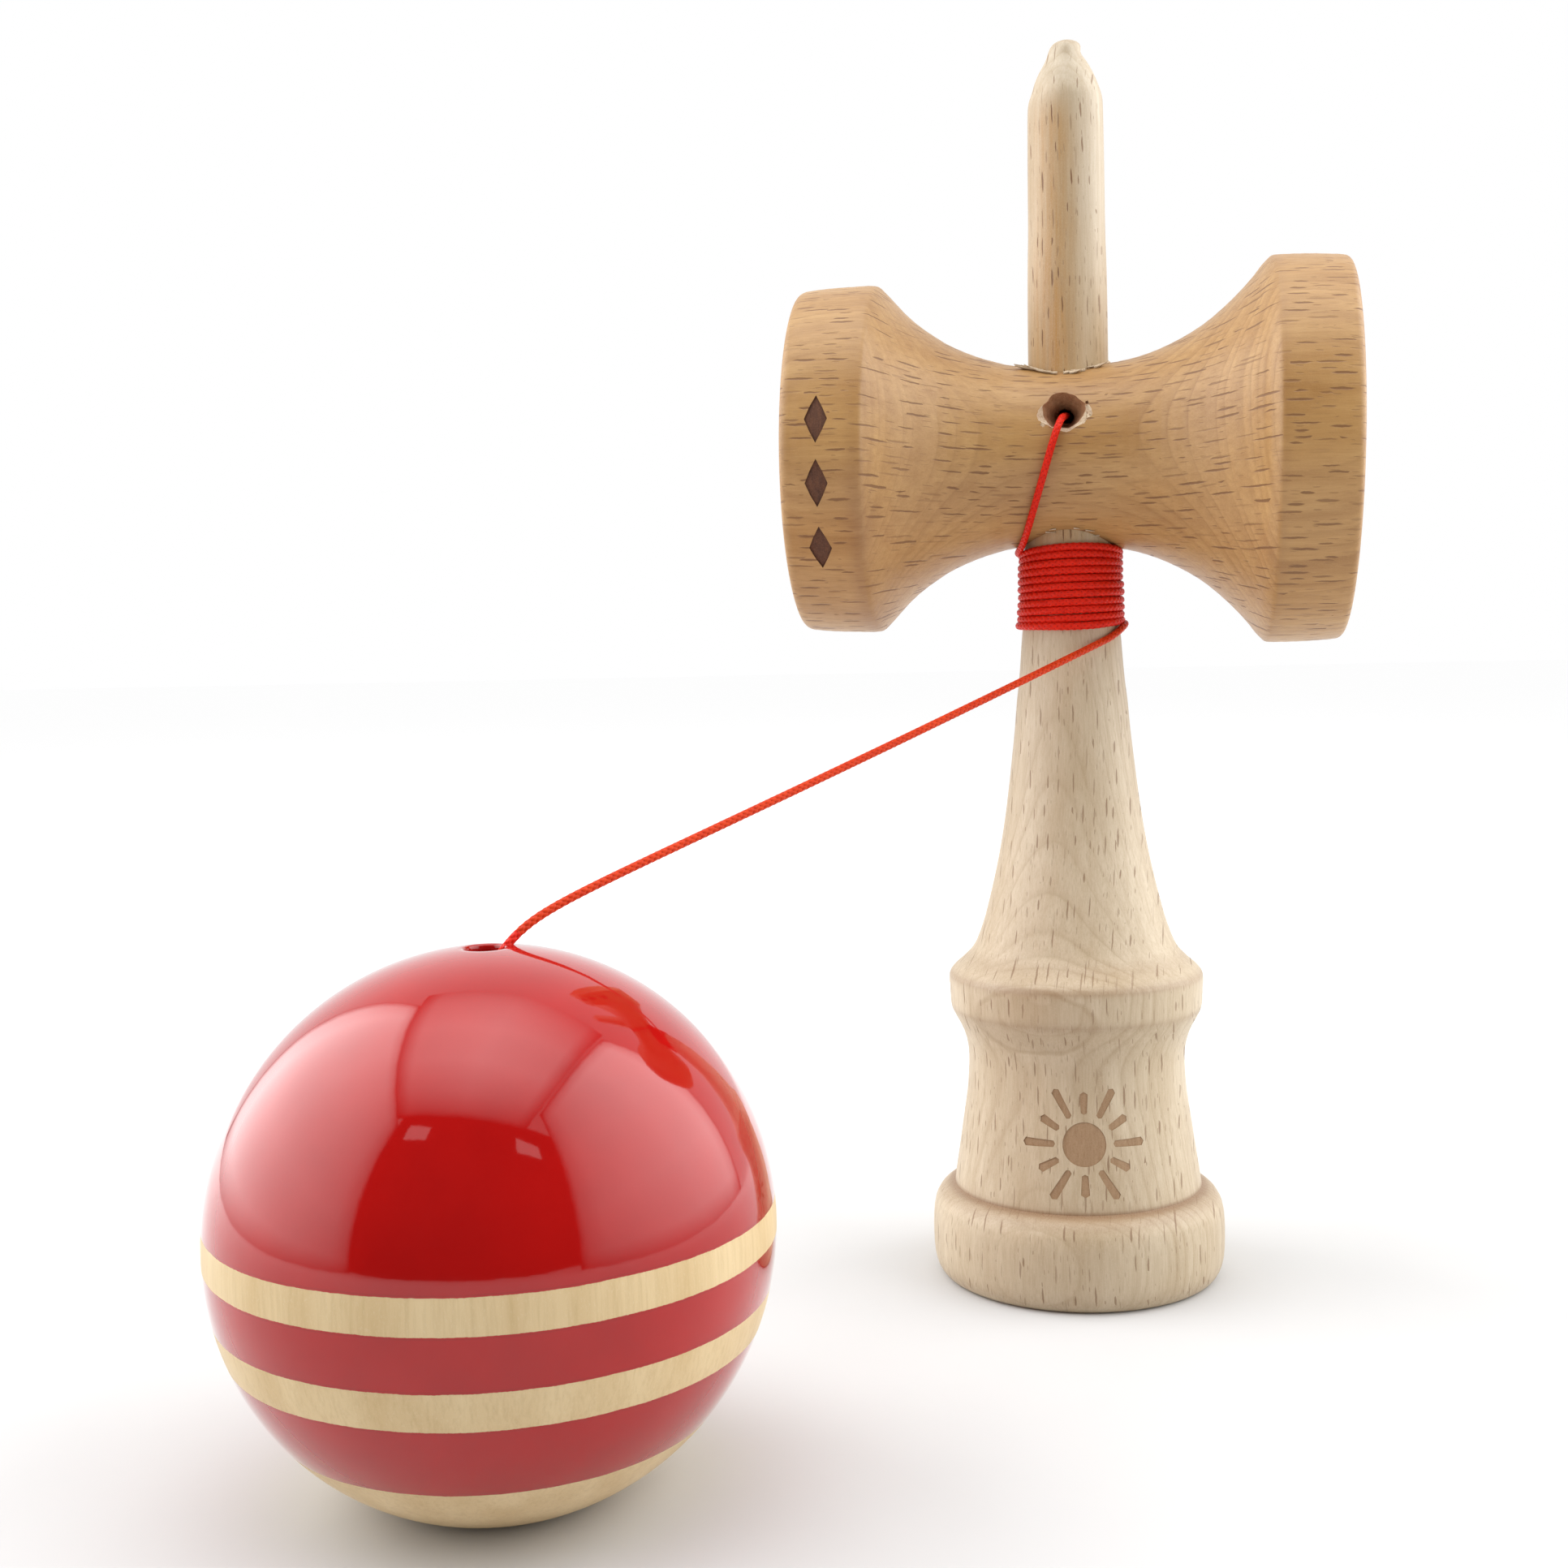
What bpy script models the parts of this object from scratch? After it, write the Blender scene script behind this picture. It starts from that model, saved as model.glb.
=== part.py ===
"""Wooden kendama (cup-and-ball skill toy), metres, +Z up.

The handle (ken) stands on its base cup; the cross-piece (sarado) is pushed
over its spike; a lacquered ball (tama) stands beside it and is tied to the
handle by a thin cord that is wound round the handle's neck.

Origin: centre of the footprint of handle, cross-piece and ball, on the
surface they stand on.  +X runs along the cross-piece towards its big cup,
+Z runs up the handle.
"""
import math

import bmesh
import bpy
from mathutils import Matrix, Vector

MM = 0.001

# ------------------------------------------------------------------ sizes, mm
SEGMENTS = 40                    # facets round every turned wooden piece
GAP = 0.3                        # clearance kept between touching pieces

KEN_XY = (26.4, 39.95)            # handle's axis
BALL_XY = (-32.9, -35.35)         # ball's axis

# handle
KEN_HEIGHT = 168.4
SPIKE_R_TOP, SPIKE_R_FOOT = 5.0, 5.37
TIP_Z, TIP_FLAT_Z = 160.6, 167.0     # where the pencil point starts and ends
NECK_R_TOP = 6.2                 # neck just under the cross-piece
COLLAR_R, COLLAR_TOP, COLLAR_LOW = 17.4, 42.0, 38.0
WAIST_R = 14.8
BASE_R, BASE_TOP = 20.15, 11.9
FOOT_R_OUT, FOOT_R_IN = 18.5, 16.6   # flat ring that the handle stands on
BASE_CUP_SPHERE_R = 26.0

# cord hole through the handle, hidden inside the cross-piece
CORD_HOLE_Z = 118.3
CORD_HOLE_R = 1.25
KNOT_POCKET_R, KNOT_POCKET_FLOOR = 2.3, 2.5

# cross-piece
SARADO_Z = 113.2                 # height of its axis
SARADO_LEAN = math.radians(0.8)  # big-cup end sits a little low
SARADO_WAIST_R = 11.9
BIG_END, BIG_R, BIG_MOUTH_R = 36.15, 25.42, 22.3
SMALL_END, SMALL_R, SMALL_MOUTH_R = 36.25, 23.55, 20.4
CUP_SPHERE_R = 28.0              # a 60 mm ball sits on the rims
FRONT_HOLE_R, FRONT_MOUTH_R = 2.05, 3.0

# ball
BALL_R = 30.0
ANA_R, ANA_TOP_R = 11.0, 8.6     # big hole: mouth and far end
ANA_DEPTH_Z = 36.0               # where its straight wall ends, from the table
TOP_HOLE_R = 2.75
TOP_HOLE_START_Z = 39.6

# bead and knots
BEAD_R, BEAD_BORE_R, BEAD_LOW, BEAD_HIGH = 4.0, 1.0, 31.6, 37.9
BEAD_KNOT_R, BEAD_KNOT_Z = 1.4, 29.8
ANCHOR_KNOT_R, ANCHOR_KNOT_Y = 1.3, 4.1

# cord
CORD_R = 0.5
WINDING_R_OUT, WINDING_LOW, WINDING_HIGH = 7.5, 90.2, 100.0
TURN_LOW, TURN_HIGH = 88.9, 89.9     # the last, loose turn under the winding
CORD_TURN_R = 7.05               # centre line of a turn on the neck
SPAN_START = 4.6                 # from the tangent point to the free stretch
SPAN_TOP_Z = 88.4                # height of the cord at the tangent point
LEVEL_R, LEVEL_Z = 3.3, 59.15    # where the cord bends over the ball's hole

BALL_Z = math.sqrt(BALL_R ** 2 - ANA_R ** 2)     # ball stands on its hole's rim


# ---------------------------------------------------------------- scene set-up
for old in list(bpy.data.objects):
    bpy.data.objects.remove(old, do_unlink=True)


def new_collection(name):
    coll = bpy.data.collections.get(name) or bpy.data.collections.new(name)
    if name not in bpy.context.scene.collection.children:
        bpy.context.scene.collection.children.link(coll)
    return coll


PARTS = new_collection("kendama")
CUTTERS = new_collection("cutters")


def material(name, colour, roughness, metallic=0.0):
    mat = bpy.data.materials.new(name)
    mat.use_nodes = True
    shader = mat.node_tree.nodes["Principled BSDF"]
    shader.inputs["Base Color"].default_value = (*colour, 1.0)
    shader.inputs["Roughness"].default_value = roughness
    shader.inputs["Metallic"].default_value = metallic
    return mat


BEECH_PALE = material("beech_pale", (0.60, 0.44, 0.29), 0.55)
BEECH_WARM = material("beech_warm", (0.50, 0.31, 0.16), 0.50)
LACQUER = material("red_lacquer", (0.42, 0.010, 0.012), 0.10)
BEAD_WOOD = material("bead_wood", (0.62, 0.46, 0.30), 0.60)
RED_CORD = material("red_cord", (0.62, 0.025, 0.012), 0.80)


# -------------------------------------------------------------------- helpers
def add_object(name, mesh, mat=None, coll=PARTS):
    obj = bpy.data.objects.new(name, mesh)
    coll.objects.link(obj)
    if mat is not None:
        mesh.materials.append(mat)
    return obj


def smooth_through(stations, per_step):
    """Catmull-Rom curve through 2-D stations; its ends keep their chords."""
    pts = [Vector(p) for p in stations]
    pts = [2 * pts[0] - pts[1]] + pts + [2 * pts[-1] - pts[-2]]
    out = []
    for i in range(1, len(pts) - 2):
        a, b, c, d = pts[i - 1:i + 3]
        for k in range(per_step):
            t = k / per_step
            out.append(0.5 * (2 * b + (c - a) * t
                              + (2 * a - 5 * b + 4 * c - d) * t ** 2
                              + (3 * b - a - 3 * c + d) * t ** 3))
    out.append(pts[-2])
    return [tuple(p) for p in out]


def arc(centre_r, centre_z, radius, start_deg, end_deg, steps):
    """Points (r, z) on a circle in the profile's half plane."""
    out = []
    for k in range(steps + 1):
        a = math.radians(start_deg + (end_deg - start_deg) * k / steps)
        out.append((centre_r + radius * math.cos(a),
                    centre_z + radius * math.sin(a)))
    return out


def turned(name, profile, mat, closed=False, steps=SEGMENTS, coll=PARTS):
    """Turn a (radius, height) profile in mm round its own Z axis."""
    mesh = bpy.data.meshes.new(name)
    verts = [(r * MM, 0.0, z * MM) for r, z in profile]
    edges = [(i, i + 1) for i in range(len(verts) - 1)]
    if closed:
        edges.append((len(verts) - 1, 0))
    mesh.from_pydata(verts, edges, [])
    obj = add_object(name, mesh, mat, coll)
    screw = obj.modifiers.new("turn", "SCREW")
    screw.axis = "Z"
    screw.angle = 2 * math.pi
    screw.steps = steps
    screw.render_steps = steps
    screw.use_merge_vertices = True
    screw.merge_threshold = 0.00001
    screw.use_smooth_shade = True
    return obj


def cutter_cone(name, r_low, r_high, length, matrix, steps=24):
    """Closed cone frustum cutter, its small z end at the matrix's origin."""
    bm = bmesh.new()
    bmesh.ops.create_cone(bm, cap_ends=True, cap_tris=False, segments=steps,
                          radius1=r_low * MM, radius2=r_high * MM,
                          depth=length * MM)
    bmesh.ops.translate(bm, verts=bm.verts, vec=(0, 0, length * MM / 2))
    mesh = bpy.data.meshes.new(name)
    bm.to_mesh(mesh)
    bm.free()
    obj = add_object(name, mesh, coll=CUTTERS)
    obj.matrix_world = matrix
    obj.hide_render = True
    obj.display_type = "WIRE"
    return obj


def cut(obj, cutter):
    mod = obj.modifiers.new(cutter.name, "BOOLEAN")
    mod.operation = "DIFFERENCE"
    mod.solver = "EXACT"
    mod.object = cutter


def at(x, y, z):
    return Matrix.Translation((x * MM, y * MM, z * MM))


def along_y(x, y, z, back=False):
    """Frame whose local +Z points along world -Y (or +Y with back)."""
    return at(x, y, z) @ Matrix.Rotation(math.radians(-90 if back else 90), 4, "X")


def cord_tube(name, points, mat=RED_CORD, radius=CORD_R):
    """Round cord along points in mm, as a poly spline with filled caps."""
    curve = bpy.data.curves.new(name, "CURVE")
    curve.dimensions = "3D"
    curve.bevel_depth = radius * MM
    curve.bevel_resolution = 2
    curve.use_fill_caps = True
    spline = curve.splines.new("POLY")
    spline.points.add(len(points) - 1)
    for point, p in zip(spline.points, points):
        point.co = (p[0] * MM, p[1] * MM, p[2] * MM, 1.0)
    curve.materials.append(mat)
    obj = bpy.data.objects.new(name, curve)
    PARTS.objects.link(obj)
    return obj


def resample(control, spacing):
    """Evenly spaced points on the Catmull-Rom curve through 3-D controls."""
    fine = [Vector(p) for p in smooth_through(control, 24)]
    lengths = [0.0]
    for a, b in zip(fine, fine[1:]):
        lengths.append(lengths[-1] + (b - a).length)
    count = max(3, round(lengths[-1] / spacing) + 1)
    out, k = [], 0
    for i in range(count):
        want = lengths[-1] * i / (count - 1)
        while k < len(fine) - 2 and lengths[k + 1] < want:
            k += 1
        share = (want - lengths[k]) / max(lengths[k + 1] - lengths[k], 1e-9)
        out.append(tuple(fine[k].lerp(fine[k + 1], min(max(share, 0), 1))))
    return out


# --------------------------------------------------------------------- handle
def ken_profile():
    tip = [(0.0, KEN_HEIGHT), (1.25, KEN_HEIGHT - 0.25), (2.0, KEN_HEIGHT - 0.9),
           (2.45, TIP_FLAT_Z - 0.3), (3.5, 164.3), (SPIKE_R_TOP - 0.25, TIP_Z + 0.5),
           (SPIKE_R_TOP, TIP_Z - 0.6)]
    spike = [(5.15, 143.0), (SPIKE_R_FOOT, 125.0)]
    neck = smooth_through([(NECK_R_TOP, 101.2), (6.5, 91.0), (7.25, 82.0),
                           (8.6, 70.0), (10.4, 58.0), (12.4, 50.0),
                           (14.3, 45.4)], 2)
    shoulder = [(16.8, 43.1), (COLLAR_R - 0.08, COLLAR_TOP + 0.1),
                (COLLAR_R, COLLAR_TOP - 0.5), (COLLAR_R - 0.05, COLLAR_LOW + 0.1)]
    body = smooth_through([(17.05, 37.3), (15.7, 34.6), (14.95, 31.8),
                           (WAIST_R, 29.6), (15.25, 24.9), (15.95, 19.8),
                           (16.7, 14.9), (17.0, 12.7)], 1)
    ring = [(18.5, BASE_TOP), (19.45, BASE_TOP - 0.8), (BASE_R - 0.12, 9.9),
            (BASE_R, 7.5), (BASE_R - 0.05, 3.2), (19.6, 1.2),
            (FOOT_R_OUT, 0.0), (FOOT_R_IN, 0.0)]
    centre = -math.sqrt(BASE_CUP_SPHERE_R ** 2 - (FOOT_R_IN - 0.4) ** 2) + 0.35
    edge = math.degrees(math.acos((FOOT_R_IN - 0.4) / BASE_CUP_SPHERE_R))
    cup = arc(0.0, centre, BASE_CUP_SPHERE_R, edge, 90.0, 6)
    cup[-1] = (0.0, centre + BASE_CUP_SPHERE_R)
    return tip + spike + neck + shoulder + body + ring + cup


ken = turned("ken", ken_profile(), BEECH_PALE)
ken.location = (KEN_XY[0] * MM, KEN_XY[1] * MM, 0.0)
cut(ken, cutter_cone("cut_cord_hole", CORD_HOLE_R, CORD_HOLE_R, 30.0,
                     along_y(KEN_XY[0], KEN_XY[1] + 15.0, CORD_HOLE_Z), 16))
cut(ken, cutter_cone("cut_knot_pocket", KNOT_POCKET_R, KNOT_POCKET_R, 8.0,
                     along_y(KEN_XY[0], KEN_XY[1] + KNOT_POCKET_FLOOR,
                             CORD_HOLE_Z, back=True), 16))


# ---------------------------------------------------------------- cross-piece
def dish(sign, end, mouth_r, steps=6):
    """Dish floor from the axis out to the mouth (sign +1) or back (-1)."""
    depth = math.sqrt(CUP_SPHERE_R ** 2 - mouth_r ** 2)
    centre = end - 0.35 + depth
    edge = math.degrees(math.acos(mouth_r / CUP_SPHERE_R))
    pts = arc(0.0, centre, CUP_SPHERE_R, -90.0, -edge, steps)
    pts[0] = (0.0, centre - CUP_SPHERE_R)
    if sign < 0:
        pts = [(r, -z) for r, z in reversed(pts)]
    return pts


def sarado_profile():
    big_cup = [(BIG_MOUTH_R + 0.9, BIG_END), (24.3, BIG_END - 0.05),
               (25.0, BIG_END - 0.5), (BIG_R - 0.07, 34.6), (BIG_R, 27.6),
               (25.2, 26.3)]
    flank_big = smooth_through([(24.4, 25.3), (20.9, 22.35), (17.5, 18.5),
                                (15.0, 14.4), (13.1, 9.5), (12.15, 4.5)], 1)
    flank_small = smooth_through([(SARADO_WAIST_R, -1.5), (12.25, -7.0),
                                  (13.55, -12.0), (15.55, -16.5),
                                  (18.55, -20.9), (22.75, -25.0)], 1)
    small_cup = [(23.45, -25.9), (SMALL_R, -27.3), (SMALL_R - 0.15, -32.5),
                 (SMALL_R - 0.5, -SMALL_END + 1.4), (22.5, -SMALL_END + 0.35),
                 (21.7, -SMALL_END), (SMALL_MOUTH_R + 0.6, -SMALL_END)]
    return (dish(1, BIG_END, BIG_MOUTH_R) + big_cup + flank_big + flank_small
            + small_cup + dish(-1, SMALL_END, SMALL_MOUTH_R))


sarado = turned("sarado", sarado_profile(), BEECH_WARM)
sarado.location = (KEN_XY[0] * MM, KEN_XY[1] * MM, SARADO_Z * MM)
sarado.rotation_euler = (0.0, math.pi / 2 + SARADO_LEAN, 0.0)

# tapered bore for the handle, and the countersunk cord hole in the front
BORE_LOW_Z, BORE_HIGH_Z = 97.0, 129.0


def ken_r_inside(z):
    share = (z - 101.2) / (125.0 - 101.2)
    return NECK_R_TOP + (SPIKE_R_FOOT - NECK_R_TOP) * share


cut(sarado, cutter_cone("cut_bore", ken_r_inside(BORE_LOW_Z) + GAP + 0.02,
                        ken_r_inside(BORE_HIGH_Z) + GAP + 0.02,
                        BORE_HIGH_Z - BORE_LOW_Z,
                        at(KEN_XY[0], KEN_XY[1], BORE_LOW_Z), SEGMENTS))
cut(sarado, cutter_cone("cut_front_hole", FRONT_HOLE_R, FRONT_HOLE_R, 17.0,
                        along_y(KEN_XY[0] - 0.35, KEN_XY[1], CORD_HOLE_Z), 16))
cut(sarado, cutter_cone("cut_front_mouth", FRONT_HOLE_R - 0.4,
                        FRONT_MOUTH_R + 1.3, 5.5,
                        along_y(KEN_XY[0] - 0.35, KEN_XY[1] - 9.2, CORD_HOLE_Z), 20))


# ----------------------------------------------------------------------- ball
def ball_profile():
    top_edge = math.degrees(math.acos((TOP_HOLE_R + 0.45) / BALL_R))
    low_edge = math.degrees(math.acos(ANA_R / BALL_R))
    outside = arc(0.0, BALL_Z, BALL_R, top_edge, -low_edge, 20)
    outside[-1] = (ANA_R, 0.0)
    inside = [(ANA_R - 0.6, 0.35), (ANA_R - 0.9, 4.0), (ANA_TOP_R, ANA_DEPTH_Z),
              (TOP_HOLE_R + 0.05, TOP_HOLE_START_Z),
              (TOP_HOLE_R, BALL_Z + BALL_R - 1.1)]
    return outside + inside


tama = turned("tama", ball_profile(), LACQUER, closed=True)
tama.location = (BALL_XY[0] * MM, BALL_XY[1] * MM, 0.0)

# ------------------------------------------------------------- bead and knots
bead_mid = (BEAD_LOW + BEAD_HIGH) / 2
bead = turned("bead", [(BEAD_BORE_R, BEAD_HIGH), (2.5, BEAD_HIGH),
                       (3.5, BEAD_HIGH - 0.9), (BEAD_R, bead_mid),
                       (3.5, BEAD_LOW + 0.9), (2.5, BEAD_LOW),
                       (BEAD_BORE_R, BEAD_LOW)], BEAD_WOOD, closed=True, steps=20)
bead.location = (BALL_XY[0] * MM, BALL_XY[1] * MM, 0.0)


def knot(name, radius, centre, squash=0.9):
    bm = bmesh.new()
    bmesh.ops.create_uvsphere(bm, u_segments=14, v_segments=8, radius=radius * MM)
    bmesh.ops.scale(bm, vec=(1.0, 1.0, squash), verts=bm.verts)
    mesh = bpy.data.meshes.new(name)
    bm.to_mesh(mesh)
    bm.free()
    mesh.shade_smooth()
    obj = add_object(name, mesh, RED_CORD)
    obj.location = [c * MM for c in centre]
    return obj


knot("bead_knot", BEAD_KNOT_R, (BALL_XY[0], BALL_XY[1], BEAD_KNOT_Z))
knot("anchor_knot", ANCHOR_KNOT_R,
     (KEN_XY[0], KEN_XY[1] + ANCHOR_KNOT_Y, CORD_HOLE_Z), 1.0)

# ------------------------------------------------------------------------ cord
# winding on the neck: outer shape of the stacked turns, then the last turn


def neck_r(z):
    """Radius of the handle's neck between the cross-piece and z = 82."""
    if z > 91.0:
        return NECK_R_TOP + (6.5 - NECK_R_TOP) * (101.2 - z) / 10.2
    return 6.5 + (7.25 - 6.5) * (91.0 - z) / 9.0


turned("string_winding",
       [(neck_r(WINDING_HIGH) + GAP + 0.08, WINDING_HIGH),
        (WINDING_R_OUT - 0.3, WINDING_HIGH), (WINDING_R_OUT, WINDING_HIGH - 0.4),
        (WINDING_R_OUT, WINDING_LOW + 0.4), (WINDING_R_OUT - 0.3, WINDING_LOW),
        (neck_r(WINDING_LOW) + GAP + 0.08, WINDING_LOW)],
       RED_CORD, closed=True).location = (KEN_XY[0] * MM, KEN_XY[1] * MM, 0.0)
turned("string_turn",
       [(neck_r(TURN_LOW) + GAP + 0.03, TURN_HIGH), (WINDING_R_OUT - 0.1, TURN_HIGH),
        (WINDING_R_OUT + 0.1, (TURN_LOW + TURN_HIGH) / 2),
        (WINDING_R_OUT - 0.1, TURN_LOW), (neck_r(TURN_LOW) + GAP + 0.03, TURN_LOW)],
       RED_CORD, closed=True).location = (KEN_XY[0] * MM, KEN_XY[1] * MM, 0.0)

# lead: from the knot through handle and cross-piece, over the front, down to
# the winding's top; it lies on the round waist of the cross-piece
WAIST_LIE_R = SARADO_WAIST_R + 0.35 + CORD_R + GAP
lead = [(0.0, 2.4, 118.3), (0.0, -2.0, 118.3), (-0.2, -6.0, 118.2),
        (-0.45, -9.6, 118.0)]
for k in range(7):
    share = k / 6
    angle = math.radians(17.0 - 70.0 * share)
    lift = 0.9 * (1 - share) ** 4
    lead.append((-0.9 - 4.2 * share ** 1.15,
                 -(WAIST_LIE_R + lift) * math.cos(angle),
                 SARADO_Z + (WAIST_LIE_R + lift) * math.sin(angle)))
lead.append((-6.6, -5.75, 101.6))
cord_tube("string_lead", resample([(x + KEN_XY[0], y + KEN_XY[1], z)
                                   for x, y, z in lead], 1.6))

# free stretch: leaves the last turn at a tangent and runs down to the ball
ken_c = Vector((KEN_XY[0], KEN_XY[1]))
ball_c = Vector((BALL_XY[0], BALL_XY[1]))
to_ball = ball_c - ken_c
tangent_angle = (math.atan2(to_ball.y, to_ball.x)
                 + math.acos(CORD_TURN_R / to_ball.length))
tangent = ken_c + CORD_TURN_R * Vector((math.cos(tangent_angle),
                                        math.sin(tangent_angle)))
from_ball = -to_ball.normalized()
level_xy = ball_c + from_ball * LEVEL_R
run = level_xy - tangent
RUN_LENGTH = run.length
run.normalize()


def span_height(u):
    """Cord height along the run: nearly straight, drooping at the ball."""
    share = u / RUN_LENGTH
    straight = SPAN_TOP_Z + (LEVEL_Z - SPAN_TOP_Z) * share
    return straight - 0.55 * math.sin(math.pi * share) + 1.0 * share ** 6 * (1 - share) * 6


def span_point(u):
    return (tangent.x + run.x * u, tangent.y + run.y * u, span_height(u))


steps = 34
cord_tube("string_span",
          [span_point(SPAN_START + 0.25 + (RUN_LENGTH - SPAN_START - 0.5) * k / steps)
           for k in range(steps + 1)])

# in the ball: over the rim of the top hole and down the axis to the bead
drop = [(LEVEL_R - 0.2, LEVEL_Z - 0.2), (2.35, 58.15), (1.75, 56.8), (1.45, 54.5),
        (0.8, 49.0), (0.1, 43.0), (0.0, 38.0), (0.0, 31.5)]
cord_tube("string_drop", resample([(ball_c.x + from_ball.x * r,
                                    ball_c.y + from_ball.y * r, z)
                                   for r, z in drop], 1.5))
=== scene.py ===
import math

import bmesh
import bpy
import numpy as np
from mathutils import Matrix, Vector


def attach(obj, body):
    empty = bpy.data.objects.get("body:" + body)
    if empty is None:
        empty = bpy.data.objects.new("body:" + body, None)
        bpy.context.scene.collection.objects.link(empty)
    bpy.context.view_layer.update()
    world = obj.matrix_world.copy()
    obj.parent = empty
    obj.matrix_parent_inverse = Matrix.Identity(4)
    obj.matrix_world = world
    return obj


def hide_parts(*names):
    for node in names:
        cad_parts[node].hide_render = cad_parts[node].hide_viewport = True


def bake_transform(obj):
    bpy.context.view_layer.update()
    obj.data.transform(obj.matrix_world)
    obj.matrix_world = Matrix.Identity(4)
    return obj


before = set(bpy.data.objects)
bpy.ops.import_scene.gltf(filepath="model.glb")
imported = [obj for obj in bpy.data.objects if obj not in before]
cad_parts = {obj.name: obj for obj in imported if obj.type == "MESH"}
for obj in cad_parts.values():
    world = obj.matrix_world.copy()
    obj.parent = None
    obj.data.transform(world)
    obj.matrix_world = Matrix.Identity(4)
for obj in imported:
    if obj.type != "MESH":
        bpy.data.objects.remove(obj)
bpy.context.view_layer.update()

MM = 0.001
TAU = 2 * math.pi

# ------------------------------------------------------------------ sizes, mm
# the same numbers as the CAD source
KEN_X, KEN_Y = 26.4, 39.95
BALL_X, BALL_Y = -32.9, -35.35
SARADO_Z = 113.2
SARADO_LEAN = math.radians(0.8)
BALL_R, ANA_R, ANA_TOP_R, ANA_DEPTH_Z = 30.0, 11.0, 8.6, 36.0
BALL_Z = math.sqrt(BALL_R ** 2 - ANA_R ** 2)
CORD_HOLE_Z = 118.3
CUP_SPHERE_R, BASE_CUP_SPHERE_R = 28.0, 26.0

# --------------------------------------------------------------------- camera
right = Vector((0.9839, 0.17717, -0.02334)).normalized()
back = Vector((0.17848, -0.98079, 0.07878)).normalized()
up = back.cross(right).normalized()
right = up.cross(back).normalized()
cam_data = bpy.data.cameras.new("view")
cam_data.sensor_width = 36.0
cam_data.lens = 43.2
cam_data.clip_start, cam_data.clip_end = 0.01, 20.0
cam = bpy.data.objects.new("view", cam_data)
bpy.context.scene.collection.objects.link(cam)
pose = Matrix((right, up, back)).transposed().to_4x4()
pose.translation = Vector((33.549, -222.547, 89.801)) * MM
cam.matrix_world = pose
bpy.context.scene.camera = cam


# ------------------------------------------------------------ curves in numpy
def catmull(points, spacing):
    """Evenly spaced points on the centripetal Catmull-Rom curve through them."""
    p = np.asarray(points, float)
    p = np.vstack([2 * p[0] - p[1], p, 2 * p[-1] - p[-2]])
    out = []
    for i in range(1, len(p) - 2):
        a, b, c, d = p[i - 1:i + 3]
        t1 = max(np.linalg.norm(b - a) ** 0.5, 1e-6)
        t2 = t1 + max(np.linalg.norm(c - b) ** 0.5, 1e-6)
        t3 = t2 + max(np.linalg.norm(d - c) ** 0.5, 1e-6)
        steps = max(3, int(math.ceil(np.linalg.norm(c - b) / spacing * 3)))
        t = np.linspace(t1, t2, steps, endpoint=False)[:, None]
        a1 = (t1 - t) / t1 * a + t / t1 * b
        a2 = (t2 - t) / (t2 - t1) * b + (t - t1) / (t2 - t1) * c
        a3 = (t3 - t) / (t3 - t2) * c + (t - t2) / (t3 - t2) * d
        b1 = (t2 - t) / t2 * a1 + t / t2 * a2
        b2 = (t3 - t) / (t3 - t1) * a2 + (t - t1) / (t3 - t1) * a3
        out.append((t2 - t) / (t2 - t1) * b1 + (t - t1) / (t2 - t1) * b2)
    out.append(p[-2][None, :])
    fine = np.vstack(out)
    return even(fine, spacing)


def even(fine, spacing):
    lengths = np.concatenate([[0], np.cumsum(np.linalg.norm(np.diff(fine, axis=0), axis=1))])
    count = max(4, int(round(lengths[-1] / spacing)) + 1)
    want = np.linspace(0, lengths[-1], count)
    return np.column_stack([np.interp(want, lengths, fine[:, k]) for k in range(fine.shape[1])])


def smoothed(values, sigma):
    """Gaussian smoothing of a sampled line, its ends kept."""
    n = int(math.ceil(sigma * 3))
    kernel = np.exp(-0.5 * (np.arange(-n, n + 1) / sigma) ** 2)
    kernel /= kernel.sum()
    padded = np.concatenate([2 * values[0] - values[n:0:-1], values,
                             2 * values[-1] - values[-2:-n - 2:-1]])
    return np.convolve(padded, kernel, "valid")


def length_of(points):
    return float(np.linalg.norm(np.diff(points, axis=0), axis=1).sum())


def wobble(x, seed, octaves=3):
    """Smooth noise of one variable, about -1 to 1."""
    r = np.random.default_rng(seed)
    out = np.zeros_like(x, float)
    for k in range(octaves):
        out += np.sin(x * (1.7 ** k) * r.uniform(0.8, 1.2) + r.uniform(0, TAU)) * 0.62 ** k
    return out / 1.7


# -------------------------------------------------------------- mesh builders
def object_from(name, verts, faces, mats, smooth=True):
    mesh = bpy.data.meshes.new(name)
    mesh.from_pydata([tuple(v) for v in verts], [], faces)
    mesh.validate()
    for m in mats:
        mesh.materials.append(m)
    obj = bpy.data.objects.new(name, mesh)
    bpy.context.scene.collection.objects.link(obj)
    if smooth:
        mesh.shade_smooth()
    return obj


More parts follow.
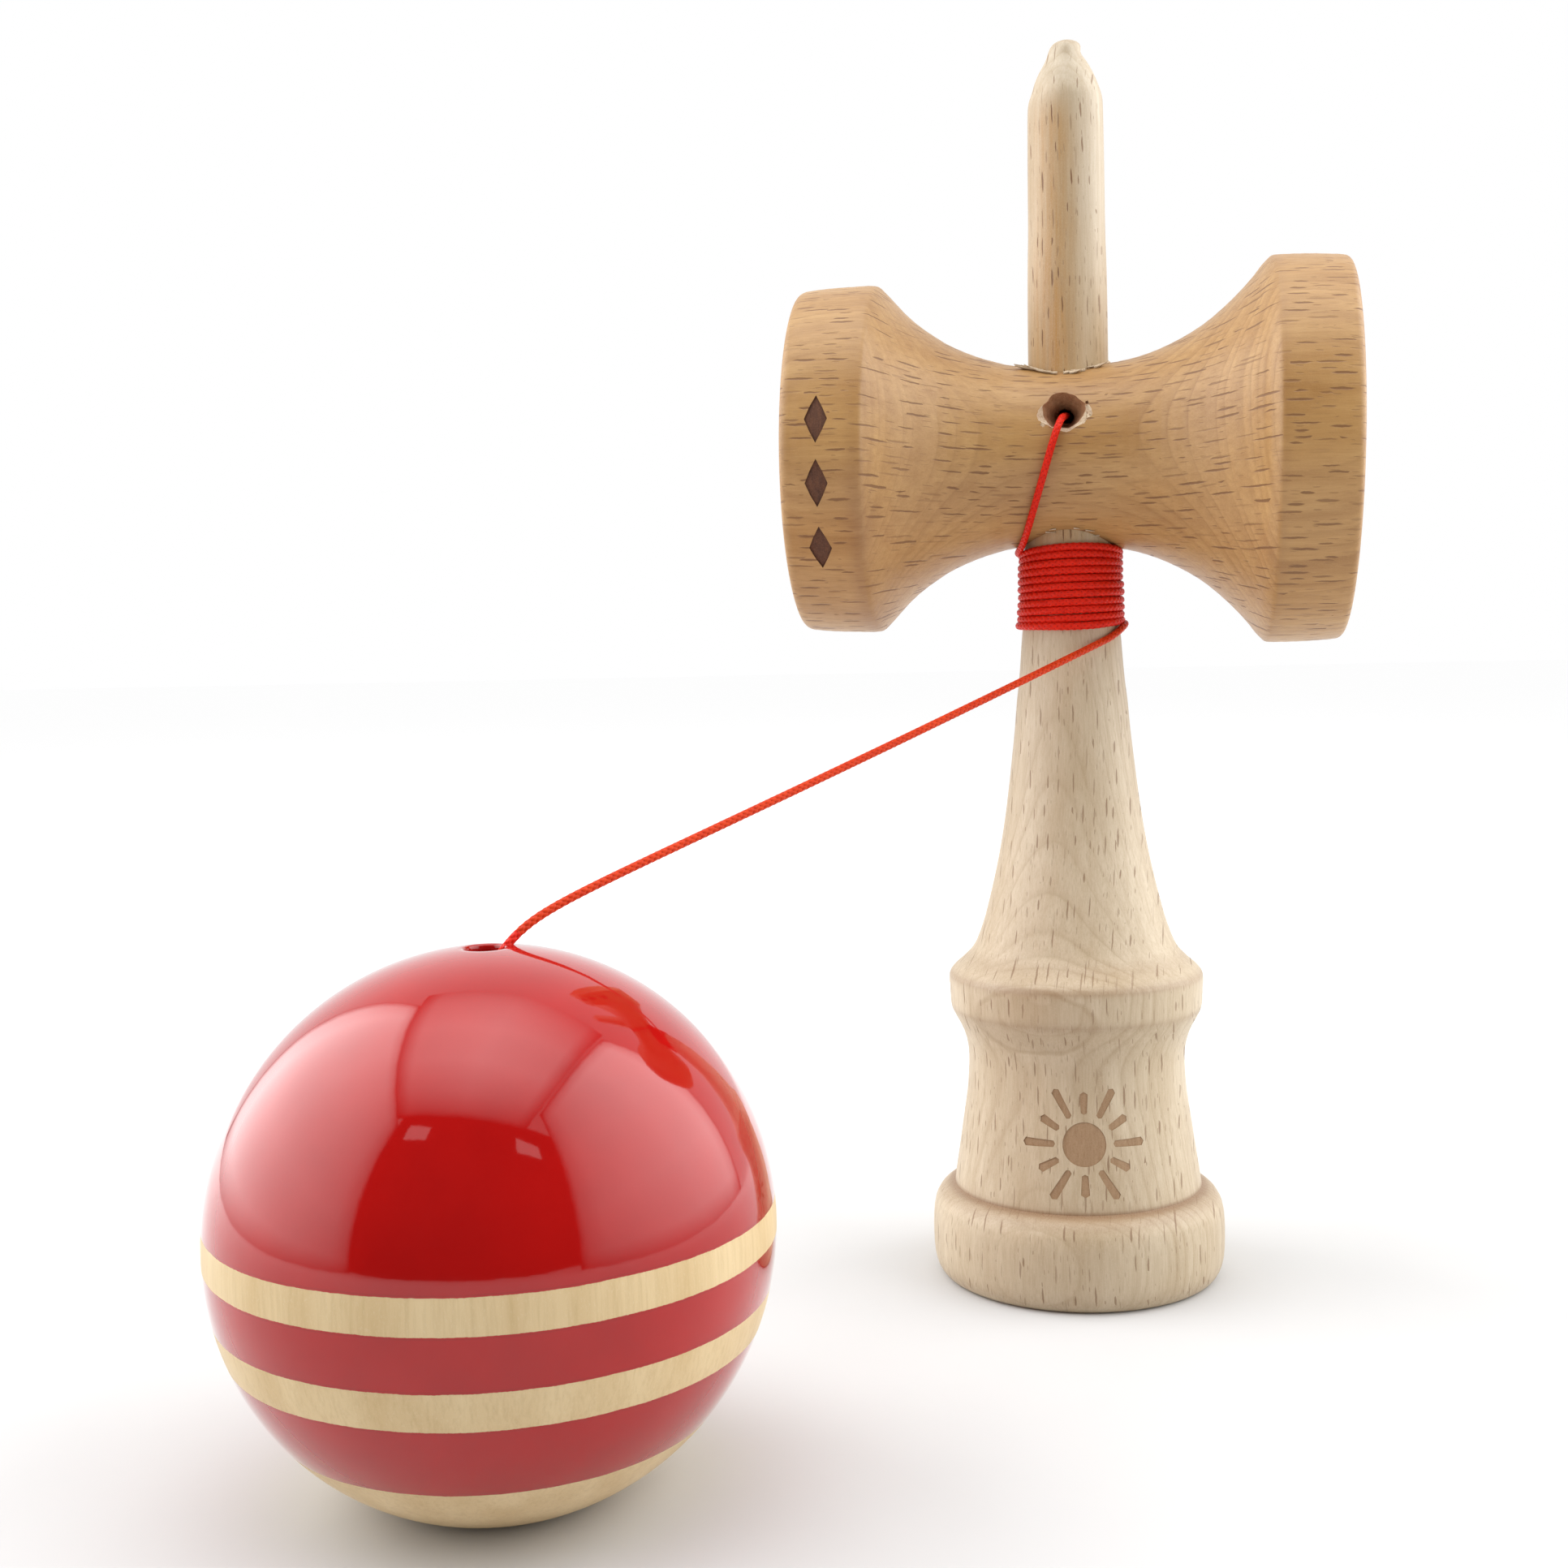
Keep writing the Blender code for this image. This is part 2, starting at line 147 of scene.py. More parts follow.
def lathe(name, profile, segments, mats, bump=None, closed=False):
    """Turn a dense (radius, height) profile in mm round Z, from top to bottom down its outer side.
    bump(radius, angle, height) gives x, y and z offsets in mm, for hand-worn unevenness."""
    prof = np.asarray(profile, float)
    angle = np.arange(segments) * TAU / segments
    pole_a = prof[0, 0] < 1e-6 and not closed
    pole_b = prof[-1, 0] < 1e-6 and not closed
    body = prof[(1 if pole_a else 0):(len(prof) - 1 if pole_b else len(prof))]
    r, a = np.meshgrid(body[:, 0], angle, indexing="ij")
    z = np.repeat(body[:, 1][:, None], segments, 1)
    x, y = r * np.cos(a), r * np.sin(a)
    if bump is not None:
        dx, dy, dz = bump(r, a, z)
        x, y, z = x + dx, y + dy, z + dz
    verts = [np.column_stack([x.ravel(), y.ravel(), z.ravel()])]
    rows = len(body)
    faces = []
    last = rows if closed else rows - 1
    for i in range(last):
        p, q = i * segments, ((i + 1) % rows) * segments
        for k in range(segments):
            n = (k + 1) % segments
            faces.append((p + k, q + k, q + n, p + n))
    count = rows * segments
    for pole, row, turn in ((pole_a, 0, False), (pole_b, rows - 1, True)):
        if pole:
            at = prof[0] if not turn else prof[-1]
            ring = verts[0][row * segments:(row + 1) * segments]
            verts.append(np.array([[ring[:, 0].mean(), ring[:, 1].mean(),
                                    at[1] + (ring[:, 2].mean() - body[row, 1])]]))
            for k in range(segments):
                n = (k + 1) % segments
                tri = (row * segments + k, row * segments + n, count)
                faces.append(tri if not turn else tri[::-1])
            count += 1
    return object_from(name, np.vstack(verts) * MM, faces, mats)


def frames_along(points):
    """Tangents and parallel-transported normals of a line of points."""
    t = np.gradient(points, axis=0)
    t /= np.linalg.norm(t, axis=1)[:, None]
    n = np.zeros_like(t)
    helper = np.array([0.0, 0.0, 1.0]) if abs(t[0, 2]) < 0.9 else np.array([1.0, 0.0, 0.0])
    n[0] = np.cross(t[0], np.cross(helper, t[0]))
    n[0] /= np.linalg.norm(n[0])
    for i in range(1, len(t)):
        v = n[i - 1] - t[i] * (n[i - 1] @ t[i])
        n[i] = v / np.linalg.norm(v)
    return t, n, np.cross(t, n)


BRAID_STRANDS, BRAID_LEAD = 4, 3.4


def braid_height(turns, along):
    """Relief of a round eight-strand braid: 0 in the gaps, 1 on the crowns."""
    u = BRAID_STRANDS * (turns + along / BRAID_LEAD)
    v = BRAID_STRANDS * (turns - along / BRAID_LEAD)
    side = np.where((np.floor(u) + np.floor(v)) % 2 < 0.5, 1.0, -1.0)
    cu = np.cos(np.pi * (u - np.floor(u) - 0.5))
    cv = np.cos(np.pi * (v - np.floor(v) - 0.5))
    return np.clip(np.maximum(cu + 0.55 * side * cv, cv - 0.55 * side * cu), 0, None) / 1.55


def braided_tube(name, points, radius, mats, sides=20, offset=0.0, relief=0.14):
    """Cord along points (mm): a tube with the braid's relief, ends rounded, and a
    braid attribute (turns, mm along, 0) for its material."""
    pts = np.asarray(points, float)
    count = len(pts)
    radius = np.broadcast_to(np.asarray(radius, float), (count,)).copy()
    along = np.concatenate([[0], np.cumsum(np.linalg.norm(np.diff(pts, axis=0), axis=1))])
    total = along[-1]
    # rounded ends
    cap = radius * np.sqrt(np.clip(1 - np.clip(1 - along / radius, 0, 1) ** 2, 0.04, 1))
    cap = np.minimum(cap, radius * np.sqrt(np.clip(1 - np.clip(1 - (total - along) / radius, 0, 1) ** 2, 0.04, 1)))
    t, n, b = frames_along(pts)
    turn = np.arange(sides) / sides
    u, s = np.meshgrid(turn, along + offset)
    h = braid_height(u, s)
    fuzz = np.random.default_rng(len(name) + count).normal(0, 0.006, h.shape)
    rad = cap[:, None] * (1 - relief + relief * h * 1.25 + fuzz)
    ring = (pts[:, None, :]
            + n[:, None, :] * (rad * np.cos(TAU * u))[:, :, None]
            + b[:, None, :] * (rad * np.sin(TAU * u))[:, :, None])
    verts = ring.reshape(-1, 3)
    faces = []
    for i in range(count - 1):
        p, q = i * sides, (i + 1) * sides
        for k in range(sides):
            m = (k + 1) % sides
            faces.append((p + k, p + m, q + m, q + k))
    verts = np.vstack([verts, pts[0], pts[-1]])
    first, last = len(verts) - 2, len(verts) - 1
    for k in range(sides):
        m = (k + 1) % sides
        faces.append((m, k, first))
        faces.append(((count - 1) * sides + k, (count - 1) * sides + m, last))
    obj = object_from(name, verts * MM, faces, mats)
    data = np.zeros((len(verts), 3), np.float32)
    data[:count * sides, 0] = u.ravel()
    data[:count * sides, 1] = s.ravel()
    data[first] = (0, offset, 0)
    data[last] = (0, offset + total, 0)
    # the turn coordinate on corners, so that it doesn't run back across the seam
    corner = np.zeros((len(obj.data.loops), 3), np.float32)
    index = np.zeros(len(obj.data.loops), np.int32)
    obj.data.loops.foreach_get("vertex_index", index)
    corner[:] = data[index]
    starts = np.zeros(len(obj.data.polygons), np.int32)
    totals = np.zeros(len(obj.data.polygons), np.int32)
    obj.data.polygons.foreach_get("loop_start", starts)
    obj.data.polygons.foreach_get("loop_total", totals)
    quads = starts[totals == 4]
    block = corner[quads[:, None] + np.arange(4)[None, :]]
    wrap = (block[:, :, 0].max(1) - block[:, :, 0].min(1)) > 0.5
    block[:, :, 0] += ((block[:, :, 0] < 0.5) & wrap[:, None])
    corner[(quads[:, None] + np.arange(4)[None, :])] = block
    attribute = obj.data.attributes.new("braid", "FLOAT_VECTOR", "CORNER")
    attribute.data.foreach_set("vector", corner.ravel())
    return obj


def set_vector(obj, name, values):
    """A point attribute, three numbers a vertex."""
    old = obj.data.attributes.get(name)
    if old is not None:
        obj.data.attributes.remove(old)
    attribute = obj.data.attributes.new(name, "FLOAT_VECTOR", "POINT")
    attribute.data.foreach_set("vector", np.asarray(values, np.float32).ravel())


def set_float(obj, name, values):
    old = obj.data.attributes.get(name)
    if old is not None:
        obj.data.attributes.remove(old)
    attribute = obj.data.attributes.new(name, "FLOAT", "POINT")
    attribute.data.foreach_set("value", np.asarray(values, np.float32).ravel())


def coordinates(obj):
    co = np.zeros(len(obj.data.vertices) * 3, np.float64)
    obj.data.vertices.foreach_get("co", co)
    return co.reshape(-1, 3)


def cut_away(obj, cutters):
    """obj less the cutters, applied. Each cutter's faces keep the cutter's material."""
    for cutter in cutters:
        for m in cutter.data.materials:
            if m.name not in [x.name for x in obj.data.materials]:
                obj.data.materials.append(m)
        mod = obj.modifiers.new("cut", "BOOLEAN")
        mod.operation = "DIFFERENCE"
        mod.solver = "EXACT"
        mod.material_mode = "TRANSFER"
        mod.object = cutter
    bpy.context.view_layer.update()
    graph = bpy.context.evaluated_depsgraph_get()
    mesh = bpy.data.meshes.new_from_object(obj.evaluated_get(graph))
    obj.modifiers.clear()
    old = obj.data
    obj.data = mesh
    bpy.data.meshes.remove(old)
    mesh.name = obj.name
    for cutter in cutters:
        data = cutter.data
        bpy.data.objects.remove(cutter)
        bpy.data.meshes.remove(data)
    return obj


# ------------------------------------------------------------------ materials
class Tree:
    """A short way to write shader nodes."""

    def __init__(self, name):
        self.mat = bpy.data.materials.new(name)
        self.mat.use_nodes = True
        self.tree = self.mat.node_tree
        self.tree.nodes.clear()
        self.out = self.tree.nodes.new("ShaderNodeOutputMaterial")
        self.bsdf = self.tree.nodes.new("ShaderNodeBsdfPrincipled")
        self.tree.links.new(self.bsdf.outputs[0], self.out.inputs["Surface"])

    def put(self, socket, value):
        if isinstance(value, bpy.types.NodeSocket):
            self.tree.links.new(value, socket)
        elif isinstance(value, (tuple, list)) and socket.type == "RGBA" and len(value) == 3:
            socket.default_value = (*value, 1.0)
        else:
            socket.default_value = value

    def node(self, kind, inputs=None, **props):
        n = self.tree.nodes.new(kind)
        for k, v in props.items():
            setattr(n, k, v)
        for k, v in (inputs or {}).items():
            self.put(n.inputs[k], v)
        return n

    def attribute(self, name, output="Vector"):
        return self.node("ShaderNodeAttribute", attribute_name=name).outputs[output]

    def math(self, op, a, b=0.0, c=0.0, clamp=False):
        return self.node("ShaderNodeMath", {0: a, 1: b, 2: c}, operation=op, use_clamp=clamp).outputs[0]

    def vmath(self, op, a, b=(0, 0, 0), c=(0, 0, 0)):
        n = self.node("ShaderNodeVectorMath", {0: a, 1: b}, operation=op)
        if op == "MULTIPLY_ADD":
            self.put(n.inputs[2], c)
        return n.outputs["Value" if op in ("LENGTH", "DOT_PRODUCT", "DISTANCE") else "Vector"]

    def split(self, vector):
        n = self.node("ShaderNodeSeparateXYZ", {0: vector})
        return n.outputs[0], n.outputs[1], n.outputs[2]

    def join(self, x, y, z):
        return self.node("ShaderNodeCombineXYZ", {0: x, 1: y, 2: z}).outputs[0]

    def noise(self, vector, scale=1.0, detail=2.0, rough=0.5, out="Fac", distortion=0.0):
        n = self.node("ShaderNodeTexNoise", {"Vector": vector, "Scale": scale, "Detail": detail,
                                             "Roughness": rough, "Distortion": distortion})
        return n.outputs[0 if out == "Fac" else 1]

    def cells(self, vector, randomness=1.0):
        """Voronoi cells of size 1: the cell's own point, its random colour, the distance."""
        n = self.node("ShaderNodeTexVoronoi", {"Vector": vector, "Scale": 1.0, "Randomness": randomness})
        return n.outputs["Position"], n.outputs["Color"], n.outputs["Distance"]

    def fit(self, value, lo, hi, to_lo=0.0, to_hi=1.0, smooth=False):
        n = self.node("ShaderNodeMapRange", {"Value": value, "From Min": lo, "From Max": hi,
                                             "To Min": to_lo, "To Max": to_hi})
        n.interpolation_type = "SMOOTHSTEP" if smooth else "LINEAR"
        return n.outputs[0]

    def ramp(self, value, stops):
        n = self.node("ShaderNodeValToRGB", {0: value})
        ramp = n.color_ramp
        while len(ramp.elements) > 1:
            ramp.elements.remove(ramp.elements[-1])
        ramp.elements[0].position = stops[0][0]
        ramp.elements[0].color = self.colour(stops[0][1])
        for where, c in stops[1:]:
            ramp.elements.new(where).color = self.colour(c)
        return n.outputs[0]

    @staticmethod
    def colour(c):
        return (c, c, c, 1.0) if isinstance(c, (int, float)) else (*c, 1.0)

    def mix(self, factor, a, b, mode="MIX"):
        n = self.node("ShaderNodeMix", data_type="RGBA", blend_type=mode)
        self.put(n.inputs["Factor"], factor)
        self.put(n.inputs[6], a)
        self.put(n.inputs[7], b)
        return n.outputs[2]

    def bump(self, height, distance, strength=1.0, normal=None):
        n = self.node("ShaderNodeBump", {"Height": height, "Distance": distance, "Strength": strength})
        if normal is not None:
            self.put(n.inputs["Normal"], normal)
        return n.outputs[0]

    def set(self, **values):
        names = {"base": "Base Color", "rough": "Roughness", "normal": "Normal", "ior": "IOR",
                 "spec": "Specular IOR Level", "coat": "Coat Weight", "coat_rough": "Coat Roughness",
                 "coat_ior": "Coat IOR", "coat_normal": "Coat Normal", "sheen": "Sheen Weight",
                 "sheen_rough": "Sheen Roughness", "sheen_tint": "Sheen Tint", "sss": "Subsurface Weight",
                 "sss_scale": "Subsurface Scale", "sss_radius": "Subsurface Radius"}
        for k, v in values.items():
            self.put(self.bsdf.inputs[names[k]], v)
        return self.mat


def flecks(t, across, deep, z, width, gap, seed, tilt=0.0):
    """Short dark rays: (strength, random number). across and gap are the spacing and
    z the spacing along the grain, in mm; width is the half width and half length."""
    x, y, zz = t.split(deep)
    v = t.join(t.math("MULTIPLY_ADD", x, 1 / across, seed),
               t.math("MULTIPLY_ADD", y, 1 / gap, seed * 1.7),
               t.math("MULTIPLY_ADD", zz, 1 / z, seed * 0.7))
    centre, random, _ = t.cells(v, 0.86)
    gap_v = t.vmath("SUBTRACT", v, centre)
    dx, dy, dz = t.split(gap_v)
    r1, r2, r3 = t.split(random)
    kink = t.noise(t.vmath("MULTIPLY", deep, (0.9, 0.9, 0.9)), 1.0, 2.0, 0.55)
    dx = t.math("ADD", dx, t.math("MULTIPLY", t.math("SUBTRACT", kink, 0.5), width[0] * 1.6 / across))
    dx = t.math("MULTIPLY_ADD", dz, t.fit(r3, 0, 1, -0.07 + tilt, 0.07 + tilt), dx)
    half_w = t.fit(r2, 0, 1, width[0] * 0.65 / across, width[0] * 1.25 / across)
    half_l = t.fit(r1, 0, 1, width[1] * 0.55 / z, width[1] * 1.40 / z)
    ex = t.math("DIVIDE", dx, half_w)
    ez = t.math("DIVIDE", dz, half_l)
    e = t.math("ADD", t.math("MULTIPLY", ex, ex), t.math("MULTIPLY", ez, ez))
    return t.fit(e, 1.25, 0.45, smooth=True), r2, r3


def streak_noise(t, p):
    return t.noise(t.vmath("MULTIPLY", p, (1.9, 1.9, 0.07)), 1.0, 3.0, 0.6)


def wood(name, pale, deep, fleck, ring=1.15, ring_tone=0.16, fibre_tone=0.16, fleck_tone=0.85,
         pith=(15.0, 62.0), rough=(0.36, 0.52), coat=0.12, mottle=0.5, spacing=(1.4, 4.4), edge=(0.24, 0.125, 0.055),
         size=(0.105, 1.05), fleck_share=0.9, zone=None, lens=None):
    """Turned beech: growth rings about a far pith, rays cut across as short dark
    flecks, fine fibre and pores, tone drifting along the grain, edges darkened,
    partly burnish and partly painted shade in the creases and where parts meet.
    The wood attribute holds mm, with the grain along its z."""
    t = Tree(name)
    p = t.attribute("wood")
    # mask of the darkened edges: partly burnish, partly painted shade in creases and where parts meet
    burnish_and_shade_mask = t.attribute("burn", "Fac")
    px, py, pz = t.split(p)
    slow = t.noise(t.vmath("MULTIPLY", p, (0.05, 0.05, 0.010)), 1.0, 2.0, 0.5, out="Color")
    warped = t.vmath("MULTIPLY_ADD", t.vmath("SUBTRACT", slow, (0.5, 0.5, 0.5)), (3.0, 3.0, 0.0), p)
    wx, wy, wz = t.split(warped)
    rx = t.math("SUBTRACT", wx, pith[0])
    ry = t.math("SUBTRACT", wy, pith[1])
    dist = t.vmath("LENGTH", t.join(rx, ry, 0.0))
    around = t.math("MULTIPLY", t.math("ARCTAN2", rx, t.math("MULTIPLY", ry, -1.0)), 58.0)
    # growth rings: slow rise, quick fall, of uneven width
    ring_noise = t.noise(t.join(t.math("MULTIPLY", dist, 0.35), 0.0, 0.0), 1.0, 2.0, 0.6)
    phase = t.math("FRACT", t.math("ADD", t.math("DIVIDE", dist, ring), t.math("MULTIPLY", ring_noise, 3.2)))
    rings = t.ramp(phase, [(0.0, 0.2), (0.10, 0.0), (0.50, 0.12), (0.80, 0.55), (0.91, 1.0), (1.0, 0.2)])
    ring_gain = t.noise(t.vmath("MULTIPLY", p, (0.09, 0.09, 0.03)), 1.0, 2.0, 0.5)
    rings = t.math("MULTIPLY", rings, t.fit(ring_gain, 0.3, 0.7, 0.25, 1.0))
    # fibre, at two scales
    fine = t.noise(t.vmath("MULTIPLY", p, (5.2, 5.2, 0.33)), 1.0, 3.0, 0.62)
    streak = t.noise(t.vmath("MULTIPLY", p, (1.15, 1.15, 0.045)), 1.0, 3.0, 0.6)
    patch = t.noise(t.vmath("MULTIPLY", p, (0.16, 0.16, 0.05)), 1.0, 3.0, 0.55)
    grit = t.noise(t.vmath("MULTIPLY", p, (9.0, 9.0, 4.5)), 1.0, 2.0, 0.7)
    tone = t.math("ADD", t.math("MULTIPLY", t.fit(patch, 0.32, 0.68), mottle),
                  t.math("MULTIPLY", t.fit(streak, 0.3, 0.7), 1.0 - mottle))
    base = t.mix(tone, pale, deep)
    darker = tuple(c * k for c, k in zip(deep, (0.72, 0.64, 0.54)))
    heart = None
    if zone is not None:
        middle, width, low, high, strength = zone
        sway = t.math("MULTIPLY", t.math("SUBTRACT", t.noise(t.join(0.0, 0.0, t.math("MULTIPLY", pz, 0.05)), 1.0, 2.0, 0.5), 0.5), 2.4)
        off = t.math("ABSOLUTE", t.math("ADD", t.math("SUBTRACT", px, middle), sway))
        heart = t.math("MULTIPLY", t.fit(off, width, 0.0, smooth=True), t.fit(pz, low, high, smooth=True))
        heart = t.math("MULTIPLY", heart, t.fit(pz, 164.0, 156.0, smooth=True))
        heart = t.math("MULTIPLY", heart, t.fit(py, 1.0, -1.5))
        heart = t.math("MULTIPLY", heart, t.fit(streak_noise(t, p), 0.25, 0.7, 0.45, 1.0))
        base = t.mix(t.math("MULTIPLY", heart, strength), base, (0.440, 0.214, 0.040))
        warmth = t.mix(t.fit(pz, 112.0, 146.0), (1.05, 0.96, 0.79), (0.90, 0.93, 0.98))
        base = t.mix(t.fit(pz, 96.0, 110.0), base, t.vmath("MULTIPLY", base, warmth))
    base = t.mix(t.math("MULTIPLY", rings, ring_tone), base, darker)
    if lens is not None:
        # where the turning cuts through the crown of one ring: an oval, a little darker
        mid_x, mid_z, half_x, half_z = lens
        wobble = t.math("SUBTRACT", t.noise(t.vmath("MULTIPLY", p, (0.20, 0.20, 0.20)), 1.0, 2.0, 0.5), 0.5)
        oval = t.vmath("LENGTH", t.join(t.math("DIVIDE", t.math("SUBTRACT", px, mid_x), half_x),
                                        t.math("DIVIDE", t.math("SUBTRACT", pz, mid_z), half_z), 0.0))
        oval = t.math("MULTIPLY_ADD", wobble, 0.35, oval)
        front = t.fit(py, -4.0, -8.0)
        inside = t.math("MULTIPLY", t.fit(oval, 1.02, 0.95, smooth=True), front)
        brim = t.fit(t.math("ABSOLUTE", t.math("SUBTRACT", oval, 1.0)), 0.11, 0.0, smooth=True)
        base = t.mix(t.math("MULTIPLY", inside, 0.24), base, darker)
        base = t.mix(t.math("MULTIPLY", t.math("MULTIPLY", brim, front), 0.46), base, darker)
    base = t.mix(t.math("MULTIPLY", t.fit(fine, 0.42, 0.74), fibre_tone), base, darker)
    light = tuple(min(1.0, c * k) for c, k in zip(pale, (1.16, 1.18, 1.24)))
    base = t.mix(t.math("MULTIPLY", t.fit(grit, 0.5, 0.8), 0.22), base, light)
    # rays, seen end on as flecks
    rays = t.join(around, dist, wz)
    f1, r1, s1 = flecks(t, spacing[0], rays, spacing[1], size, 8.0, 3.1)
    f2, r2, s2 = flecks(t, spacing[0] * 0.62, rays, spacing[1] * 0.5, (size[0] * 0.55, size[1] * 0.4), 6.0, 11.3)
    strong = t.math("MULTIPLY", f1, t.fit(s1, 1.0 - fleck_share, 1.0 - fleck_share + 0.5, 0.0, 1.0))
    faint = t.math("MULTIPLY", f2, t.fit(s2, 0.3, 1.0, 0.0, 0.55))
    if heart is not None:
        strong = t.math("MULTIPLY", strong, t.fit(heart, 0.0, 0.6, 0.72, 1.15))
    fleck_all = t.math("MAXIMUM", strong, faint)
    base = t.mix(t.math("MULTIPLY", fleck_all, fleck_tone), base, fleck)
    # the darkened edges laid on: partly burnish, partly painted shade
    base = t.mix(t.math("MULTIPLY", burnish_and_shade_mask, t.fit(fine, 0.3, 0.7, 0.75, 1.0)), base, edge)
    height = t.math("MULTIPLY", fine, 0.55)
    height = t.math("MULTIPLY_ADD", grit, 0.25, height)
    height = t.math("MULTIPLY_ADD", fleck_all, -1.0, height)
    height = t.math("MULTIPLY_ADD", rings, -0.25, height)
    normal = t.bump(height, 0.00004, 0.75)
    roughness = t.math("ADD", t.fit(fine, 0.3, 0.7, rough[0], rough[1]), t.math("MULTIPLY", fleck_all, 0.12))
    t.set(base=base, rough=roughness, normal=normal, coat=coat, coat_rough=0.28, coat_normal=normal)
    return t.mat


def plain_wood(name, colour, dark, rough=0.7, grain=(1.3, 1.3, 0.2), depth=0.00008):
    """Raw, cut or scorched wood: fibres and grit in two tones, with a rough face."""
    t = Tree(name)
    p = t.vmath("MULTIPLY", t.node("ShaderNodeTexCoord").outputs["Object"], (1000.0, 1000.0, 1000.0))
    a = t.noise(t.vmath("MULTIPLY", p, grain), 1.6, 4.0, 0.65)
    b = t.noise(p, 5.5, 2.0, 0.6)
    tone = t.math("ADD", t.math("MULTIPLY", a, 0.65), t.math("MULTIPLY", b, 0.35))
    base = t.mix(t.fit(tone, 0.33, 0.66), colour, dark)
    return t.set(base=base, rough=t.fit(b, 0.3, 0.7, rough - 0.08, rough + 0.08),
                 normal=t.bump(tone, depth, 0.9))


def lacquer(name):
    """Deep red gloss over maple, with three bands left bare."""
    t = Tree(name)
    p = t.attribute("wood")
    inner = t.attribute("inner", "Fac")
    x, y, z = t.split(p)
    waver = t.noise(p, 0.33, 3.0, 0.6)
    drift = t.noise(t.vmath("MULTIPLY", p, (1.0, 1.0, 0.0)), 0.04, 1.0, 0.5)
    bleed = t.noise(t.vmath("MULTIPLY", p, (3.2, 3.2, 0.9)), 1.0, 3.0, 0.65)
    h = t.math("MULTIPLY_ADD", t.math("SUBTRACT", waver, 0.5), 0.20, z)
    h = t.math("MULTIPLY_ADD", t.math("SUBTRACT", bleed, 0.5), 0.10, h)
    h = t.math("MULTIPLY_ADD", t.math("SUBTRACT", drift, 0.5), 0.35, h)

    def between(lo, hi, soft=0.035):
        a = t.fit(h, lo - soft, lo + soft, smooth=True)
        b = t.fit(h, hi + soft, hi - soft, smooth=True)
        return t.math("MULTIPLY", a, b)

    bare = t.math("MAXIMUM", between(-0.87, 2.77), between(-10.59, -6.49))
    bare = t.math("MAXIMUM", bare, t.fit(h, -18.76, -18.84, smooth=True))
    wide = t.math("MAXIMUM", between(-1.05, 2.95, 0.12), between(-10.77, -6.31, 0.12))
    wide = t.math("MAXIMUM", wide, t.fit(h, -18.50, -18.66, smooth=True))
    # bare maple, its grain upright
    fibre = t.noise(t.vmath("MULTIPLY", p, (2.4, 2.4, 0.16)), 1.0, 4.0, 0.6)
    broad = t.noise(t.vmath("MULTIPLY", p, (0.22, 0.22, 0.03)), 1.0, 3.0, 0.55)
    grit = t.noise(t.vmath("MULTIPLY", p, (7.0, 7.0, 3.0)), 1.0, 2.0, 0.6)
    maple = t.mix(t.fit(broad, 0.3, 0.7), (0.735, 0.572, 0.338), (0.628, 0.460, 0.246))
    maple = t.mix(t.math("MULTIPLY", t.fit(fibre, 0.45, 0.8), 0.38), maple, (0.46, 0.310, 0.142))
    maple = t.mix(t.math("MULTIPLY", t.fit(grit, 0.55, 0.8), 0.30), maple, (0.78, 0.67, 0.47))
    # painted light: the bare foot is made paler towards the bottom, to offset the floor's shade there
    maple = t.mix(t.fit(h, -18.0, -23.0), maple, t.vmath("MULTIPLY", maple, (1.15, 1.15, 1.17)))
    red = t.mix(t.fit(t.noise(p, 0.11, 3.0, 0.5), 0.3, 0.7), (0.420, 0.0055, 0.0045), (0.365, 0.0045, 0.0040))
    edge = t.math("SUBTRACT", 1.0, t.math("ABSOLUTE", t.math("SUBTRACT", t.math("MULTIPLY", wide, 2.0), 1.0)))
    red = t.mix(t.math("MULTIPLY", edge, 0.35), red, (0.16, 0.006, 0.004))
    base = t.mix(bare, red, maple)
    # raw wood in the big hole
    base = t.mix(inner, base, t.mix(fibre, (0.56, 0.41, 0.24), (0.40, 0.27, 0.14)))
    open_wood = t.math("MAXIMUM", bare, inner)
    # a few grains of dust on the gloss
    centre, random, dist = t.cells(t.vmath("MULTIPLY", p, (0.16, 0.16, 0.16)))
    r1, r2, r3 = t.split(random)
    dust = t.math("MULTIPLY", t.math("LESS_THAN", dist, t.fit(r1, 0, 1, 0.006, 0.020)), t.math("GREATER_THAN", r2, 0.62))
    base = t.mix(t.math("MULTIPLY", dust, 0.75), base, (0.80, 0.55, 0.50))
    rough = t.fit(open_wood, 0, 1, 0.055, 0.40)
    skin = t.noise(p, 0.55, 2.0, 0.5)
    swell = t.noise(p, 0.09, 1.0, 0.5)
    height = t.math("MULTIPLY_ADD", swell, 6.0, skin)
    height = t.math("MULTIPLY_ADD", t.math("MULTIPLY", open_wood, fibre), 2.4, height)
    height = t.math("MULTIPLY_ADD", open_wood, -1.6, height)
    height = t.math("MULTIPLY_ADD", dust, 4.0, height)
    normal = t.bump(height, 0.0000055, 1.0)
    t.set(base=base, rough=rough, normal=normal, coat_normal=normal, coat_rough=0.05, spec=0.1, coat_ior=1.46,
          coat=t.fit(open_wood, 0, 1, 1.0, 0.10))
    return t.mat


